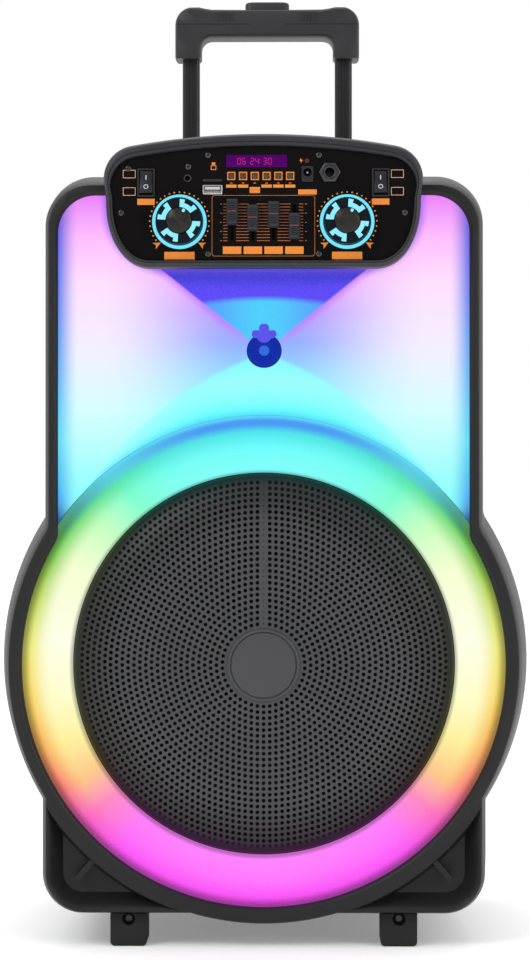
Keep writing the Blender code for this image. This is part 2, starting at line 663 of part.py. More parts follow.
# --- Console ------------------------------------------------------------------------------------------
def make_console_housing(finish):
    """The raised bezel round the controls, with a ledge that the faceplate rests on."""
    front = -CONSOLE_PROUD
    sections = [(front, console_outline(3.0)), (front + 1.2, console_outline(1.0))]
    sections += [(front + 4.0, console_outline()), (-GAP, console_outline())]
    housing = placed("console_housing", loft(sections), finish)
    carve(housing, prism(console_outline(BEZEL, BEZEL_CROWN), front - 1, PLATE_BACK + GAP))
    carve(housing, prism(console_outline(BEZEL + LEDGE, BEZEL_CROWN + LEDGE), front - 1, 1.0))
    return housing


def fader_x(index):
    return (index - 1.5) * FADER_PITCH


def button_x(index):
    return BUTTON_MID_X + (index - (BUTTON_COUNT - 1) / 2) * BUTTON_PITCH


def make_faceplate(finish):
    """The flat control plate with a cut-out for every control."""
    fit = BEZEL + GAP, BEZEL_CROWN + GAP
    plate = placed("control_faceplate", prism(console_outline(*fit), PLATE_FRONT, PLATE_BACK), finish)
    near, far = PLATE_FRONT - 1, PLATE_BACK + 1
    for side in (1, -1):
        carve(plate, rod(side * KNOB_X, KNOB_Z, KNOB_SHAFT_R + 2 * GAP, near, far, TINY))
        wide, high = ROCKER_FRAME[0] - 1.6, ROCKER_FRAME[1] - 1.2
        carve(plate, block(side * ROCKER_X, near, ROCKER_Z - high / 2, wide, far - near, high))
    for index in range(4):
        slot = FADER_TRAVEL + FADER_STEM[1] + 1.2
        carve(plate, block(fader_x(index), near, FADER_Z - slot / 2, FADER_STEM[0] + 0.8, far - near, slot))
    for index in range(BUTTON_COUNT):
        carve(plate, rod(button_x(index), BUTTON_Z, BUTTON_R + GAP, near, far, TINY))
    for x, z, wide, high in (DISPLAY, USB, DC):
        carve(plate, block(x, near, z - high / 2 - GAP, wide + 2 * GAP, far - near, high + 2 * GAP))
    x, z, wide, high = CARD_SLOT
    carve(plate, block(x, near, z - high / 2, wide, far - near, high))
    carve(plate, rod(AUX_X, AUX_Z, AUX_R + GAP, near, far, TINY))
    carve(plate, rod(MIC_X, MIC_Z, MIC_R + GAP, near, far, TINY))
    return plate


def make_main_board(finish):
    """The circuit board behind the faceplate, with its pots, fader tracks and button switches."""
    fit = BEZEL + LEDGE + GAP, BEZEL_CROWN + LEDGE + GAP
    board = placed("main_board", prism(console_outline(*fit), BOARD_DEPTH, BOARD_DEPTH + BOARD_THICK), finish)
    sunk = BOARD_DEPTH + 0.5
    for side in (1, -1):
        pot = [(0, PLATE_FRONT - KNOB_HEIGHT + 5.0), (KNOB_SHAFT_R, PLATE_FRONT - KNOB_HEIGHT + 5.0)]
        pot += [(KNOB_SHAFT_R, PLATE_BACK + 2.0), (POT_R, PLATE_BACK + 2.0), (POT_R, sunk), (0, sunk)]
        fuse(board, turned(pot, side * KNOB_X, KNOB_Z, TINY))
    track_front = PLATE_BACK + 3.5
    for index in range(4):
        length = FADER_TRAVEL + FADER_STEM[1] + 6.0
        fuse(board, block(fader_x(index), track_front, FADER_Z - length / 2, 9.0, sunk - track_front, length))
    for index in range(BUTTON_COUNT):
        switch_front = PLATE_BACK + 6.0
        fuse(board, block(button_x(index), switch_front, BUTTON_Z - 3, 6.0, sunk - switch_front, 6.0))
    for x, z, width, height in ((DC[0], DC[1], DC[2], DC[3]), (USB[0], USB[1], USB[2], USB[3])):
        carve(board, block(x, BOARD_DEPTH - 1, z - height / 2 - GAP, width + 2 * GAP, 4, height + 2 * GAP))
    carve(board, rod(AUX_X, AUX_Z, AUX_R + 2, BOARD_DEPTH - 1, 1, TINY))
    carve(board, block(MIC_X, BOARD_DEPTH - 1, MIC_Z - 7.5, 15.0, 4, 15.0))
    for side in (1, -1):
        high = ROCKER_FRAME[1]
        carve(board, block(side * ROCKER_X, BOARD_DEPTH - 1, ROCKER_Z - high / 2, ROCKER_FRAME[0], 4, high))
    return board


def make_display(finish):
    x, z, width, height = DISPLAY
    front = PLATE_FRONT + 0.2
    return placed("display_window", block(x, front, z - height / 2, width, PLATE_THICK - 0.2, height), finish)


def make_sockets(metal, dark):
    """The sockets of the faceplate: each is open to the front."""
    x, z, width, height = USB
    shell = placed("usb_socket", block(x, PLATE_FRONT - 0.4, z - height / 2, width, 14.0, height), metal)
    carve(shell, block(x, PLATE_FRONT - 1.4, z - height / 2 + 0.9, width - 1.8, 13.0, height - 1.8))
    fuse(shell, block(x, PLATE_FRONT + 0.8, z + 0.2, width - 4.0, 12.6, 1.9))
    profile = [(1.75, PLATE_FRONT - 0.5), (AUX_R, PLATE_FRONT - 0.5), (AUX_R, PLATE_BACK + 0.5)]
    profile += [(AUX_R + 1.5, PLATE_BACK + 0.5), (AUX_R + 1.5, -0.6), (0, -0.6), (0, -1.6), (1.75, -1.6)]
    placed("aux_jack", turned(profile, AUX_X, AUX_Z, TINY), dark)
    x, z, width, height = DC
    inlet = placed("dc_jack", block(x, PLATE_FRONT - 1.0, z - height / 2, width, 14.0, height), dark)
    hole_z = z + 1.2
    near, far = PLATE_FRONT - 2.0, PLATE_FRONT + 9.0
    bore = [(1.0, near), (2.9, near), (2.9, far), (1.0, far)]
    carve(inlet, turned(bore, x, hole_z, TINY))
    carve(inlet, rod(x, hole_z, 1.2, PLATE_FRONT - 2.0, PLATE_FRONT + 0.5, TINY))
    bore_r = 3.25
    profile = [(bore_r, PLATE_FRONT - 2.6), (MIC_R, PLATE_FRONT - 2.6), (MIC_R, PLATE_BACK + GAP)]
    profile += [(7.0, PLATE_BACK + GAP), (7.0, 9.0), (0, 9.0), (0, 7.0), (bore_r, 7.0)]
    placed("mic_jack", turned(profile, MIC_X, MIC_Z, TINY), dark)
    hexagon = arc(MIC_X, MIC_Z, MIC_NUT / 2 / math.cos(math.radians(30)), 0, 300, 5)
    nut = placed("mic_jack_nut", prism(hexagon, PLATE_FRONT - 2.0, PLATE_FRONT - GAP), metal)
    carve(nut, rod(MIC_X, MIC_Z, MIC_R + GAP, PLATE_FRONT - 3, PLATE_FRONT, TINY))


def make_knobs(finish, lit):
    """A knob on each pot shaft, inside its light ring. Its origin is on the shaft."""
    front = PLATE_FRONT - KNOB_HEIGHT
    for side, name in ((-1, "left"), (1, "right")):
        x = side * KNOB_X
        bore_r = KNOB_SHAFT_R + GAP
        profile = [(0, front), (KNOB_CAP_R, front), (KNOB_CAP_R + 1.0, front + 0.8)]
        profile += [(KNOB_R - 2, front + 3.2)]
        profile += [(KNOB_R, front + 4.6), (KNOB_R, PLATE_FRONT - 0.8), (bore_r, PLATE_FRONT - 0.8)]
        profile += [(bore_r, front + 4.6), (0, front + 4.6)]
        placed(f"knob_{name}", turned(profile, x, KNOB_Z, SMALL), finish, point(x, front, KNOB_Z))
        seat = PLATE_FRONT - GAP
        ring = [(LIGHT_RING_IN, seat - 2.2), (LIGHT_RING_OUT - 0.6, seat - 2.2), (LIGHT_RING_OUT, seat - 1.6)]
        ring += [(LIGHT_RING_OUT, seat), (LIGHT_RING_IN, seat)]
        placed(f"knob_light_ring_{name}", turned(ring, x, KNOB_Z, SMALL), lit)


def make_rockers(finish, dark):
    """A rocker switch at each end of the plate, pressed in at the top. Its origin is on its pivot."""
    wide, high = ROCKER_FRAME
    width, height = ROCKER_SIZE
    pivot_depth = PLATE_FRONT + 1.0
    for side, name in ((-1, "left"), (1, "right")):
        x = side * ROCKER_X
        flange = block(x, PLATE_FRONT - 1.6, ROCKER_Z - high / 2, wide, 1.3, high)
        housing = placed(f"rocker_housing_{name}", flange, dark)
        body_w, body_h = wide - 1.6 - 2 * GAP, high - 1.2 - 2 * GAP
        fuse(housing, block(x, PLATE_FRONT - 0.6, ROCKER_Z - body_h / 2, body_w, 13.0, body_h))
        room_w, room_h = width + 0.8, height + 1.6
        carve(housing, block(x, PLATE_FRONT - 3, ROCKER_Z - room_h / 2, room_w, 12.0, room_h))
        half = height / 2
        side_view = [(-half, -3.0), (0, -1.5), (half, -3.0), (half - 1, 3.0), (0, 5.0), (-half + 1, 3.0)]
        tilt = math.radians(ROCKER_TILT)
        bm = bmesh.new()
        faces = []
        for edge in (-width / 2, width / 2):
            ring = []
            for up, back in side_view:
                depth = back * math.cos(tilt) + up * math.sin(tilt)
                rise = up * math.cos(tilt) - back * math.sin(tilt)
                ring.append(bm.verts.new(point(x + edge, pivot_depth + depth, ROCKER_Z + rise)))
            faces.append(ring)
        for i in range(len(side_view)):
            j = (i + 1) % len(side_view)
            bm.faces.new((faces[0][i], faces[0][j], faces[1][j], faces[1][i]))
        bm.faces.new(faces[0])
        bm.faces.new(list(reversed(faces[1])))
        placed(f"rocker_{name}", closed_mesh(bm), finish, point(x, pivot_depth, ROCKER_Z))


def make_faders(finish):
    """Four slide controls, each a long cap on a stem that passes through the plate."""
    width, height, thick = FADER_CAP
    stem_w, stem_h = FADER_STEM
    for index, lift in enumerate(FADER_REST):
        x, z = fader_x(index), FADER_Z + lift
        front = PLATE_FRONT - 0.8 - thick
        bm = loft([
            (front, rectangle(x, z, width - 2.4, height - 3.0)),
            (front + 1.5, rectangle(x, z, width - 0.8, height - 0.8)),
            (PLATE_FRONT - 0.8, rectangle(x, z, width, height)),
        ])
        fader = placed(f"fader_{index + 1}", bm, finish, point(x, front, z))
        track_front = PLATE_BACK + 3.5
        stem_front = PLATE_FRONT - 2.0
        fuse(fader, block(x, stem_front, z - stem_h / 2, stem_w, track_front - GAP - stem_front, stem_h))


def rectangle(x, z, width, height):
    return [(x + sx * width / 2, z + sz * height / 2) for sx, sz in ((-1, -1), (1, -1), (1, 1), (-1, 1))]


def make_buttons(finish):
    """Six round push buttons, each kept in by a flange behind the plate."""
    for index in range(BUTTON_COUNT):
        x = button_x(index)
        front = PLATE_FRONT - BUTTON_PROUD
        flange = PLATE_BACK + GAP
        back = PLATE_BACK + 6.0 - BUTTON_TRAVEL - GAP
        profile = [(0, front), (BUTTON_R - 0.4, front), (BUTTON_R, front + 0.4), (BUTTON_R, flange)]
        profile += [(BUTTON_R + 1.0, flange), (BUTTON_R + 1.0, flange + 1.2), (1.5, flange + 1.2)]
        profile += [(1.5, back), (0, back)]
        bm = turned(profile, x, BUTTON_Z, TINY)
        placed(f"button_{index + 1}", bm, finish, point(x, front, BUTTON_Z))


# --- Handle ---------------------------------------------------------------------------------------------
def sleeve_bar(side, grow, low, high):
    width, thick = TUBE_SIZE
    extra = 2 * (SLEEVE_WALL + GAP + grow)
    return upright(side * TUBE_X, TROLLEY_DEPTH, width + extra, thick + extra, 4.0, low, high)


def cabinet_top():
    """Height of the cabinet's top over the trolley tubes."""
    return max(z for _, z in cabinet_section(TROLLEY_DEPTH))


def make_trolley(steel, dark, plastic):
    """Fixed sleeves in the cabinet, their bracket, and the inner tubes that carry the grip."""
    width, thick = TUBE_SIZE
    top = cabinet_top() + SLEEVE_PROUD
    for side, name in ((-1, "left"), (1, "right")):
        x = side * TUBE_X
        sleeve = placed(f"trolley_sleeve_{name}", sleeve_bar(side, 0.0, SLEEVE_BOTTOM, top), dark)
        bore = upright(x, TROLLEY_DEPTH, width + 2 * GAP, thick + 2 * GAP, 3.0, SLEEVE_BOTTOM - 1, top + 1)
        carve(sleeve, bore)
        tube = upright(x, TROLLEY_DEPTH, width, thick, 2.7, TUBE_BOTTOM, TUBE_TOP)
        placed(f"handle_tube_{name}", tube, steel)
    near = TROLLEY_DEPTH + thick / 2 + SLEEVE_WALL + 2 * GAP
    far = BACK_DEPTH - CABINET_WALL - GAP
    bracket_half = TUBE_X + 20.0
    low, high = SLEEVE_BOTTOM + BRACKET_RISE, BRACKET_HEIGHT
    bracket = placed("trolley_bracket", block(0, near, low, 2 * bracket_half, far - near, high), plastic)
    carve(bracket, block(0, near - 1, low + high / 4, 2 * (TUBE_X - 16.0), far - near - 3, high / 2))


def grip_outline():
    """The grip seen from the front: a bar with two legs that take the tubes."""
    inner = GRIP_HALF - GRIP_LEG
    under = GRIP_TOP - GRIP_BAR
    right = arc(inner - 8.0, under - 8.0, 8.0, 90, 0, 4)
    right += [(inner, GRIP_BOTTOM), (GRIP_HALF - 1.5, GRIP_BOTTOM)]
    right += arc(GRIP_HALF - 8.0, GRIP_TOP - 7.0, 8.0, 0, 80, 4)
    right += [(GRIP_HALF - 20.0, GRIP_TOP), (24.0, GRIP_TOP - 1.0)]
    return mirrored(right)


def make_grip(finish, accent):
    """The U-shaped grip with a spring button in its top. The button's origin is at its pocket."""
    outline = grip_outline()
    near, far = TROLLEY_DEPTH - GRIP_THICK / 2, TROLLEY_DEPTH + GRIP_THICK / 2
    bm = loft([(near, outline), (far, outline)])
    grip = placed("handle_grip", bm, finish)
    rounding = grip.modifiers.new("rounded_edges", "BEVEL")
    rounding.width = 3.0 * MM
    rounding.segments = 2
    rounding.limit_method = "ANGLE"
    rounding.angle_limit = math.radians(50)
    width, thick = TUBE_SIZE
    for side in (1, -1):
        x = side * TUBE_X
        low, high = GRIP_BOTTOM - 5, TUBE_TOP + GAP
        socket = upright(x, TROLLEY_DEPTH, width + 2 * GAP, thick + 2 * GAP, 3.0, low, high)
        carve(grip, socket)
    wide, deep, tall = RELEASE
    top = GRIP_TOP + RELEASE_PROUD
    pocket_floor = top - tall - RELEASE_TRAVEL - GAP
    pocket_near = TROLLEY_DEPTH - deep / 2 - GAP
    carve(grip, block(0, pocket_near, pocket_floor, wide + 2 * GAP, deep + 2 * GAP, tall + 20))
    button = upright(0, TROLLEY_DEPTH, wide, deep, 4.0, top - tall, top)
    placed("release_button", button, accent, point(0, TROLLEY_DEPTH, top))


# --- Wheels and feet ------------------------------------------------------------------------------------
def make_wheels(tyre, steel):
    """Two wheels on one axle with a push nut at each end. A wheel's origin is on the axle."""
    reach = WHEEL_X + WHEEL_WIDTH / 2 + 2 * GAP
    total = reach + NUT_THICK
    share = NUT_THICK / (2 * total)
    radii = [(0, NUT_R), (share, NUT_R), (share + 1e-4, AXLE_R), (1 - share - 1e-4, AXLE_R)]
    radii += [(1 - share, NUT_R), (1, NUT_R)]
    placed("axle", crosswise(-total, total, WHEEL_DEPTH, WHEEL_R, radii), steel)
    for side, name in ((-1, "left"), (1, "right")):
        x0 = side * (WHEEL_X - WHEEL_WIDTH / 2)
        x1 = side * (WHEEL_X + WHEEL_WIDTH / 2)
        steps = [(0, 14.0), (0.12, 14.0), (0.121, WHEEL_R - 4.0), (0.2, WHEEL_R), (0.8, WHEEL_R)]
        steps += [(0.9, WHEEL_R - 3.0), (0.901, 24.0), (0.88, 22.0), (0.86, 12.0), (0.96, 11.0), (0.961, 9.0)]
        steps += [(1, 9.0)]
        bm = crosswise(x0, x1, WHEEL_DEPTH, WHEEL_R, steps, 24)
        wheel = placed(f"wheel_{name}", bm, tyre, point(side * WHEEL_X, WHEEL_DEPTH, WHEEL_R))
        bore = [(0, AXLE_R + GAP), (1, AXLE_R + GAP)]
        hole = crosswise(x0 - 5 * side, x1 + 5 * side, WHEEL_DEPTH, WHEEL_R, bore)
        carve(wheel, hole)


def make_feet(finish):
    """A block foot under each front corner with a screw eye in its face."""
    width, thick = FOOT_SIZE
    for side, name in ((-1, "left"), (1, "right")):
        x = side * FOOT_X
        low, high, r = 0.0, BASE_Z - GAP, 3.0
        half = width / 2
        outline = arc(x - half + r, low + r, r, 180, 270, 3) + arc(x + half - r, low + r, r, 270, 360, 3)
        outline += [(x + half, high), (x - half, high)]
        foot = placed(f"foot_{name}", prism(outline, FOOT_DEPTH, FOOT_DEPTH + thick), finish)
        carve(foot, rod(x, high - 4.0, FOOT_EYE_R, FOOT_DEPTH - 1, FOOT_DEPTH + 6.0, TINY))


# --- Inside of the cabinet ------------------------------------------------------------------------------
def make_inside(board_finish, metal, battery_finish, plastic):
    """Battery and its strap on the floor, amplifier with its heatsink and the port on the back wall."""
    width, thick, height = BATTERY
    floor = BASE_Z + CABINET_WALL + GAP
    placed("battery", block(0, BATTERY_DEPTH, floor, width, thick, height), battery_finish)
    outer_w = width + 2 * (STRAP + GAP)
    near = BATTERY_DEPTH + thick / 2 - 12.0
    strap = placed("battery_strap", block(0, near, floor, outer_w, 24.0, height + GAP + STRAP), metal)
    carve(strap, block(0, near - 1, floor - 1, width + 2 * GAP, 26.0, height + GAP + 1))
    for side in (1, -1):
        fuse(strap, block(side * (outer_w / 2 + 7.0), near, floor, 16.0, 24.0, STRAP))
    wide, deep, tall = HEATSINK
    back = BACK_DEPTH - CABINET_WALL - GAP
    sink = placed("heatsink", block(0, back - deep, HEATSINK_Z, wide, deep, tall), metal)
    fins = 8
    for index in range(fins):
        x = -wide / 2 + wide * (index + 0.5) / fins
        carve(sink, block(x, back - deep + 4.0, HEATSINK_Z - 1, wide / fins - 3.0, deep, tall + 2))
    board_front = back - deep - GAP - BOARD_THICK
    amp_w, amp_h = AMP_BOARD
    amp_body = block(0, board_front, HEATSINK_Z - 16, amp_w, BOARD_THICK, amp_h)
    amp = placed("amplifier_board", amp_body, board_finish)
    for x, size in ((-40, 16.0), (0, 20.0), (38, 14.0)):
        fuse(amp, block(x, board_front - 12.0, HEATSINK_Z + 2, size, 12.5, size))
    inner = PORT_R - 3.0
    last = BACK_DEPTH - GAP
    profile = [(inner, last - PORT_LENGTH), (PORT_R, last - PORT_LENGTH), (PORT_R, last), (inner + 2, last)]
    profile += [(inner, last - 4.0)]
    placed("bass_port", turned(profile, 0, PORT_Z, SMALL), plastic)


def main():
    for obj in list(bpy.data.objects):
        bpy.data.objects.remove(obj)
    shell = material("black_shell_plastic", (0.022, 0.022, 0.024), 0.42)
    grey = material("dark_grey_plastic", (0.05, 0.05, 0.055), 0.5)
    gloss = material("gloss_faceplate", (0.008, 0.007, 0.008), 0.25)
    horn = material("lit_horn", (0.62, 0.72, 1.0), 0.4, glow=1.0)
    ring = material("lit_ring", (0.95, 0.95, 0.55), 0.4, glow=1.0)
    blue = material("lit_blue", (0.1, 0.75, 0.9), 0.3, glow=1.0)
    violet = material("display_violet", (0.13, 0.0, 0.24), 0.2, glow=0.5)
    mesh_steel = material("grille_steel", (0.08, 0.08, 0.085), 0.5, 0.3)
    steel = material("zinc_steel", (0.55, 0.55, 0.57), 0.35, 1.0)
    tube = material("tube_steel", (0.05, 0.05, 0.055), 0.35, 0.8)
    ferrite = material("ferrite", (0.03, 0.03, 0.03), 0.8)
    paper = material("cone_paper", (0.02, 0.02, 0.02), 0.9)
    rubber = material("rubber", (0.02, 0.02, 0.02), 0.85)
    board = material("circuit_board", (0.02, 0.16, 0.06), 0.5)
    wood = material("fibreboard", (0.25, 0.17, 0.1), 0.8)
    alloy = material("aluminium", (0.6, 0.6, 0.62), 0.4, 1.0)
    battery = material("battery_case", (0.1, 0.1, 0.12), 0.5)

    make_front_frame(shell)
    make_rear_cabinet(shell)
    make_light_panel(horn)
    make_ring_diffuser(ring)
    make_grille(mesh_steel)
    make_grille_badge(mesh_steel)
    make_inner_baffle(wood)
    make_woofer(steel, paper, rubber, ferrite)
    make_tweeter(grey, blue)
    make_ring_board(board)
    make_console_housing(grey)
    make_faceplate(gloss)
    make_main_board(board)
    make_display(violet)
    make_sockets(steel, grey)
    make_knobs(grey, blue)
    make_rockers(grey, grey)
    make_faders(grey)
    make_buttons(grey)
    make_trolley(tube, steel, grey)
    make_grip(shell, grey)
    make_wheels(rubber, steel)
    make_feet(shell)
    make_inside(board, alloy, battery, grey)


main()
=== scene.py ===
"""Looks of a party speaker on a trolley: a lit horn over a lit ring, a perforated grille, a console of
knobs and faders, and a pull-out handle.

Sizes are millimetres. X is to the right, Z is up and the front faces -Y. Depths are counted from the
front face of the front frame towards the back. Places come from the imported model's own nodes.
"""

import math

import bmesh
import bpy
from mathutils import Matrix, Vector


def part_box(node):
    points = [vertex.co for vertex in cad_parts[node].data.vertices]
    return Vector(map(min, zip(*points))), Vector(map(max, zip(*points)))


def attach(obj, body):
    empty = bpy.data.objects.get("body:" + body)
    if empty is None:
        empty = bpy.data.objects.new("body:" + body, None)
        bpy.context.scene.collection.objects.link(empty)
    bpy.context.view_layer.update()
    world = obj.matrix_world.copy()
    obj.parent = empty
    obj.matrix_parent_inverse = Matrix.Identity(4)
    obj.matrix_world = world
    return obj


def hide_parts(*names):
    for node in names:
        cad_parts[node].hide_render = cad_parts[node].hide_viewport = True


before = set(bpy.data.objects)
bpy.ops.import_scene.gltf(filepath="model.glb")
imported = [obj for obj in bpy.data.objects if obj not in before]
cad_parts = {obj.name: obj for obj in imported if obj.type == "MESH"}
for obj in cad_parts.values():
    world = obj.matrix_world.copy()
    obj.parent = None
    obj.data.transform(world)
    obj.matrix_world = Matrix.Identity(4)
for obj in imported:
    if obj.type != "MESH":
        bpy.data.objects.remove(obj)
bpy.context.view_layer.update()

MM = 0.001
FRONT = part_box("front_frame")[0].y / MM


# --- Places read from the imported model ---
class Span:
    """A node's box in millimetres: low and high across, in depth and in height, and its middle."""

    def __init__(self, node):
        low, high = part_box(node)
        self.x0, self.x1 = low.x / MM, high.x / MM
        self.near, self.far = low.y / MM - FRONT, high.y / MM - FRONT
        self.z0, self.z1 = low.z / MM, high.z / MM
        self.x, self.z = (self.x0 + self.x1) / 2, (self.z0 + self.z1) / 2
        self.depth = (self.near + self.far) / 2
        self.wide, self.high = self.x1 - self.x0, self.z1 - self.z0


shell, cabinet, ring_span = Span("front_frame"), Span("rear_cabinet"), Span("ring_diffuser")
console, plate, foot = Span("console_housing"), Span("control_faceplate"), Span("foot_right")
throat, grip, wheel = Span("tweeter_lens"), Span("handle_grip"), Span("wheel_right")

RING_R = shell.x1
RING_Z = ring_span.z
HALF_WIDTH = RING_R - 34.0
BLOCK_HALF = HALF_WIDTH + 2.0
TOP_Z = cabinet.z1 + 0.5
BASE_Z = foot.z1 + 0.3
DIP_R = RING_Z - 17.0
FRONT_DEPTH = 88.0
BACK_DEPTH = cabinet.far
SIDE_DRAFT, RING_DRAFT, BEVEL_DEPTH = 6.0, 10.0, 9.0
WALL, CABINET_WALL = 3.2, 4.0
BAND_DEPTH = 18.0
TOP_CORNER, LOW_CORNER, WAIST_FILLET = 37.0, 34.0, 14.0

OPENING_HALF = HALF_WIDTH - 16.0
OPENING_TOP = TOP_Z - 24.0
OPENING_RING = RING_R - 23.0
OPENING_CORNER = 28.0
REBATE = 7.0
LIP = 2.8  # bevel round the inside of the opening

# Each fold of the horn starts at its outer edge and falls back by its slope.
SIDE_START, ROOF_START, SKIRT_START = 5.0, 6.6, 9.5
SIDE_SLOPE, ROOF_SLOPE, SKIRT_SLOPE = 0.226, 0.2875, 0.615
SKIRT_EDGE = OPENING_RING + 6.4
HORN_SOFT, HORN_LEAST = 0.9, 4.4

GRILLE_R = Span("woofer_grille").x1
GRILLE_CREST, GRILLE_DROP, GRILLE_THICK = 2.0, 21.6, 1.2
HOLE_PITCH = 4.43
FIRST_RING, LAST_RING = 7, 31
HOLE_SHARE = 0.35  # hole radius as a share of the pitch
CELL_STRETCH = 1.047  # a ring of 6k cells is wider than k cells by this

PLATE_FACE = plate.near
CONSOLE_CROWN = 557.0
CONSOLE_CORNER, CONSOLE_FLAT, CONSOLE_TAPER = 25.0, 83.0, 1.7
CONSOLE_SIDE_Z = console.z1 - 48.6
INK = 0.12  # thickness of printed marks

SIDES = ((1, "right"), (-1, "left"))
CORNERS = ((-1, -1), (1, -1), (1, 1), (-1, 1))


# --- Mesh tools ---
def place(x, depth, z):
    return Vector((x, FRONT + depth, z)) * MM


def arc(x, z, radius, start, end, steps):
    """Points on a circle from one angle to another in degrees, both ends included."""
    turns = [math.radians(start + (end - start) * i / steps) for i in range(steps + 1)]
    return [(x + radius * math.cos(a), z + radius * math.sin(a)) for a in turns]


def circle(x, z, radius, points):
    """A closed circle with its first point given once."""
    return arc(x, z, radius, 0, 360 - 360 / points, points - 1)


def mirrored(right):
    return right + [(-x, z) for x, z in reversed(right) if x > 1e-6]


def rectangle(x, z, wide, high):
    return [(x + sx * wide / 2, z + sz * high / 2) for sx, sz in CORNERS]


def rounded(x, z, wide, high, radius, steps=5):
    """A rectangle with round corners, about its middle."""
    outline = []
    for sx, sz, start in ((1, 1, 0), (-1, 1, 90), (-1, -1, 180), (1, -1, 270)):
        cx, cz = x + sx * (wide / 2 - radius), z + sz * (high / 2 - radius)
        outline += arc(cx, cz, radius, start, start + 90, steps)
    return outline


def closed(bm):
    bmesh.ops.remove_doubles(bm, verts=bm.verts, dist=1e-7)
    bmesh.ops.recalc_face_normals(bm, faces=bm.faces)
    return bm


def skinned(rings, capped=True, looped=False):
    """A skin over rings of equally many points."""
    bm = bmesh.new()
    rows = [[bm.verts.new(p) for p in ring] for ring in rings]
    pairs = list(zip(rows, rows[1:] + rows[:1])) if looped else list(zip(rows, rows[1:]))
    for near, far in pairs:
        for i in range(len(near)):
            j = (i + 1) % len(near)
            bm.faces.new((near[i], far[i], far[j], near[j]))
    if capped and not looped:
        bm.faces.new(rows[0])
        bm.faces.new(list(reversed(rows[-1])))
    return closed(bm)


def loft(sections):
    """A solid through (depth, outline) sections, front to back."""
    return skinned([[place(x, depth, z) for x, z in outline] for depth, outline in sections])


def prism(outline, near, far):
    return loft([(near, outline), (far, outline)])


def plump(outline_at, near, far, round_by, steps=3):
    """A prism with its front edge rounded. outline_at gives the outline drawn in by an amount."""
    sections = []
    for i in range(steps + 1):
        turn = math.pi / 2 * i / steps
        depth = near + round_by * (1 - math.sin(turn))
        sections.append((depth, outline_at(round_by * (1 - math.cos(turn)))))
    sections.reverse()
    return loft(sections + [(far, outline_at(0.0))])


def plump_box(span, corner, round_by, far=None):
    """A node's own box with round corners and a rounded front edge."""
    def outline(inward):
        return rounded(span.x, span.z, span.wide - 2 * inward, span.high - 2 * inward, corner)

    return plump(outline, span.near, span.far if far is None else far, round_by)


def slab(x, z, wide, high, near, far):
    return prism(rectangle(x, z, wide, high), near, far)


def turned(profile, x, z, steps=96):
    """A closed (radius, depth) profile turned about a line that runs front to back."""
    rings = []
    for i in range(steps):
        a = math.tau * i / steps
        rings.append([place(x + r * math.cos(a), depth, z + r * math.sin(a)) for r, depth in profile])
    return skinned(rings, looped=True)


def from_depth(base, *points):
    """A (radius, depth) profile from radii and distances behind a base depth."""
    return [(radius, base + back) for radius, back in points]


def sideways(profile, depth, z, steps=64):
    """A closed (radius, x) profile turned about a line that runs left to right."""
    rings = []
    for i in range(steps):
        a = math.tau * i / steps
        rings.append([place(x, depth + r * math.cos(a), z + r * math.sin(a)) for r, x in profile])
    return skinned(rings, looped=True)


def upright(outline, low, high):
    """A vertical bar. The outline is (x, depth)."""
    return skinned([[place(x, depth, z) for x, depth in outline] for z in (low, high)])


def joined(*parts):
    """Several solids in one mesh."""
    whole = bmesh.new()
    for part in parts:
        mesh = bpy.data.meshes.new("part")
        part.to_mesh(mesh)
        part.free()
        whole.from_mesh(mesh)
        bpy.data.meshes.remove(mesh)
    return whole


def loose(bm, name="loose"):
    """An object from a mesh under construction, not yet a piece."""
    mesh = bpy.data.meshes.new(name)
    bm.to_mesh(mesh)
    bm.free()
    obj = bpy.data.objects.new(name, mesh)
    bpy.context.scene.collection.objects.link(obj)
    return obj


def settled(obj, helpers=()):
    """The evaluated mesh of obj as a plain one; obj and its helpers are removed."""
    bpy.context.view_layer.update()
    graph = bpy.context.evaluated_depsgraph_get()
    mesh = bpy.data.meshes.new_from_object(obj.evaluated_get(graph))
    bm = bmesh.new()
    bm.from_mesh(mesh)
    bpy.data.meshes.remove(mesh)
    for gone in (obj, *helpers):
        bpy.data.objects.remove(gone)
    return bm


def carved(bm, *cutters, operation="DIFFERENCE"):
    obj = loose(bm)
    helpers = [loose(cutter, "cutter") for cutter in cutters]
    for helper in helpers:
        change = obj.modifiers.new("cut", "BOOLEAN")
        change.operation = operation
        change.solver = "EXACT"
        change.object = helper
    return settled(obj, helpers)


def eased(bm, width, segments=2, angle=40):
    """Edges sharper than an angle rounded off by a width."""
    obj = loose(bm)
    change = obj.modifiers.new("ease", "BEVEL")
    change.width = width * MM
    change.segments = segments
    change.limit_method = "ANGLE"
    change.angle_limit = math.radians(angle)
    change.harden_normals = False
    return settled(obj)


def piece(name, bm, finish, body="root", stands_for=(), sharp=30):
    """A finished piece that rides on a body and stands for CAD nodes."""
    mesh = bpy.data.meshes.new(name)
    bm.to_mesh(mesh)
    bm.free()
    mesh.materials.clear()
    mesh.materials.append(finish.material)
    mesh.shade_smooth()
    mesh.set_sharp_from_angle(angle=math.radians(sharp))
    obj = bpy.data.objects.new(name, mesh)
    bpy.context.scene.collection.objects.link(obj)
    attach(obj, body)
    if stands_for:
        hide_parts(*stands_for)
    return obj


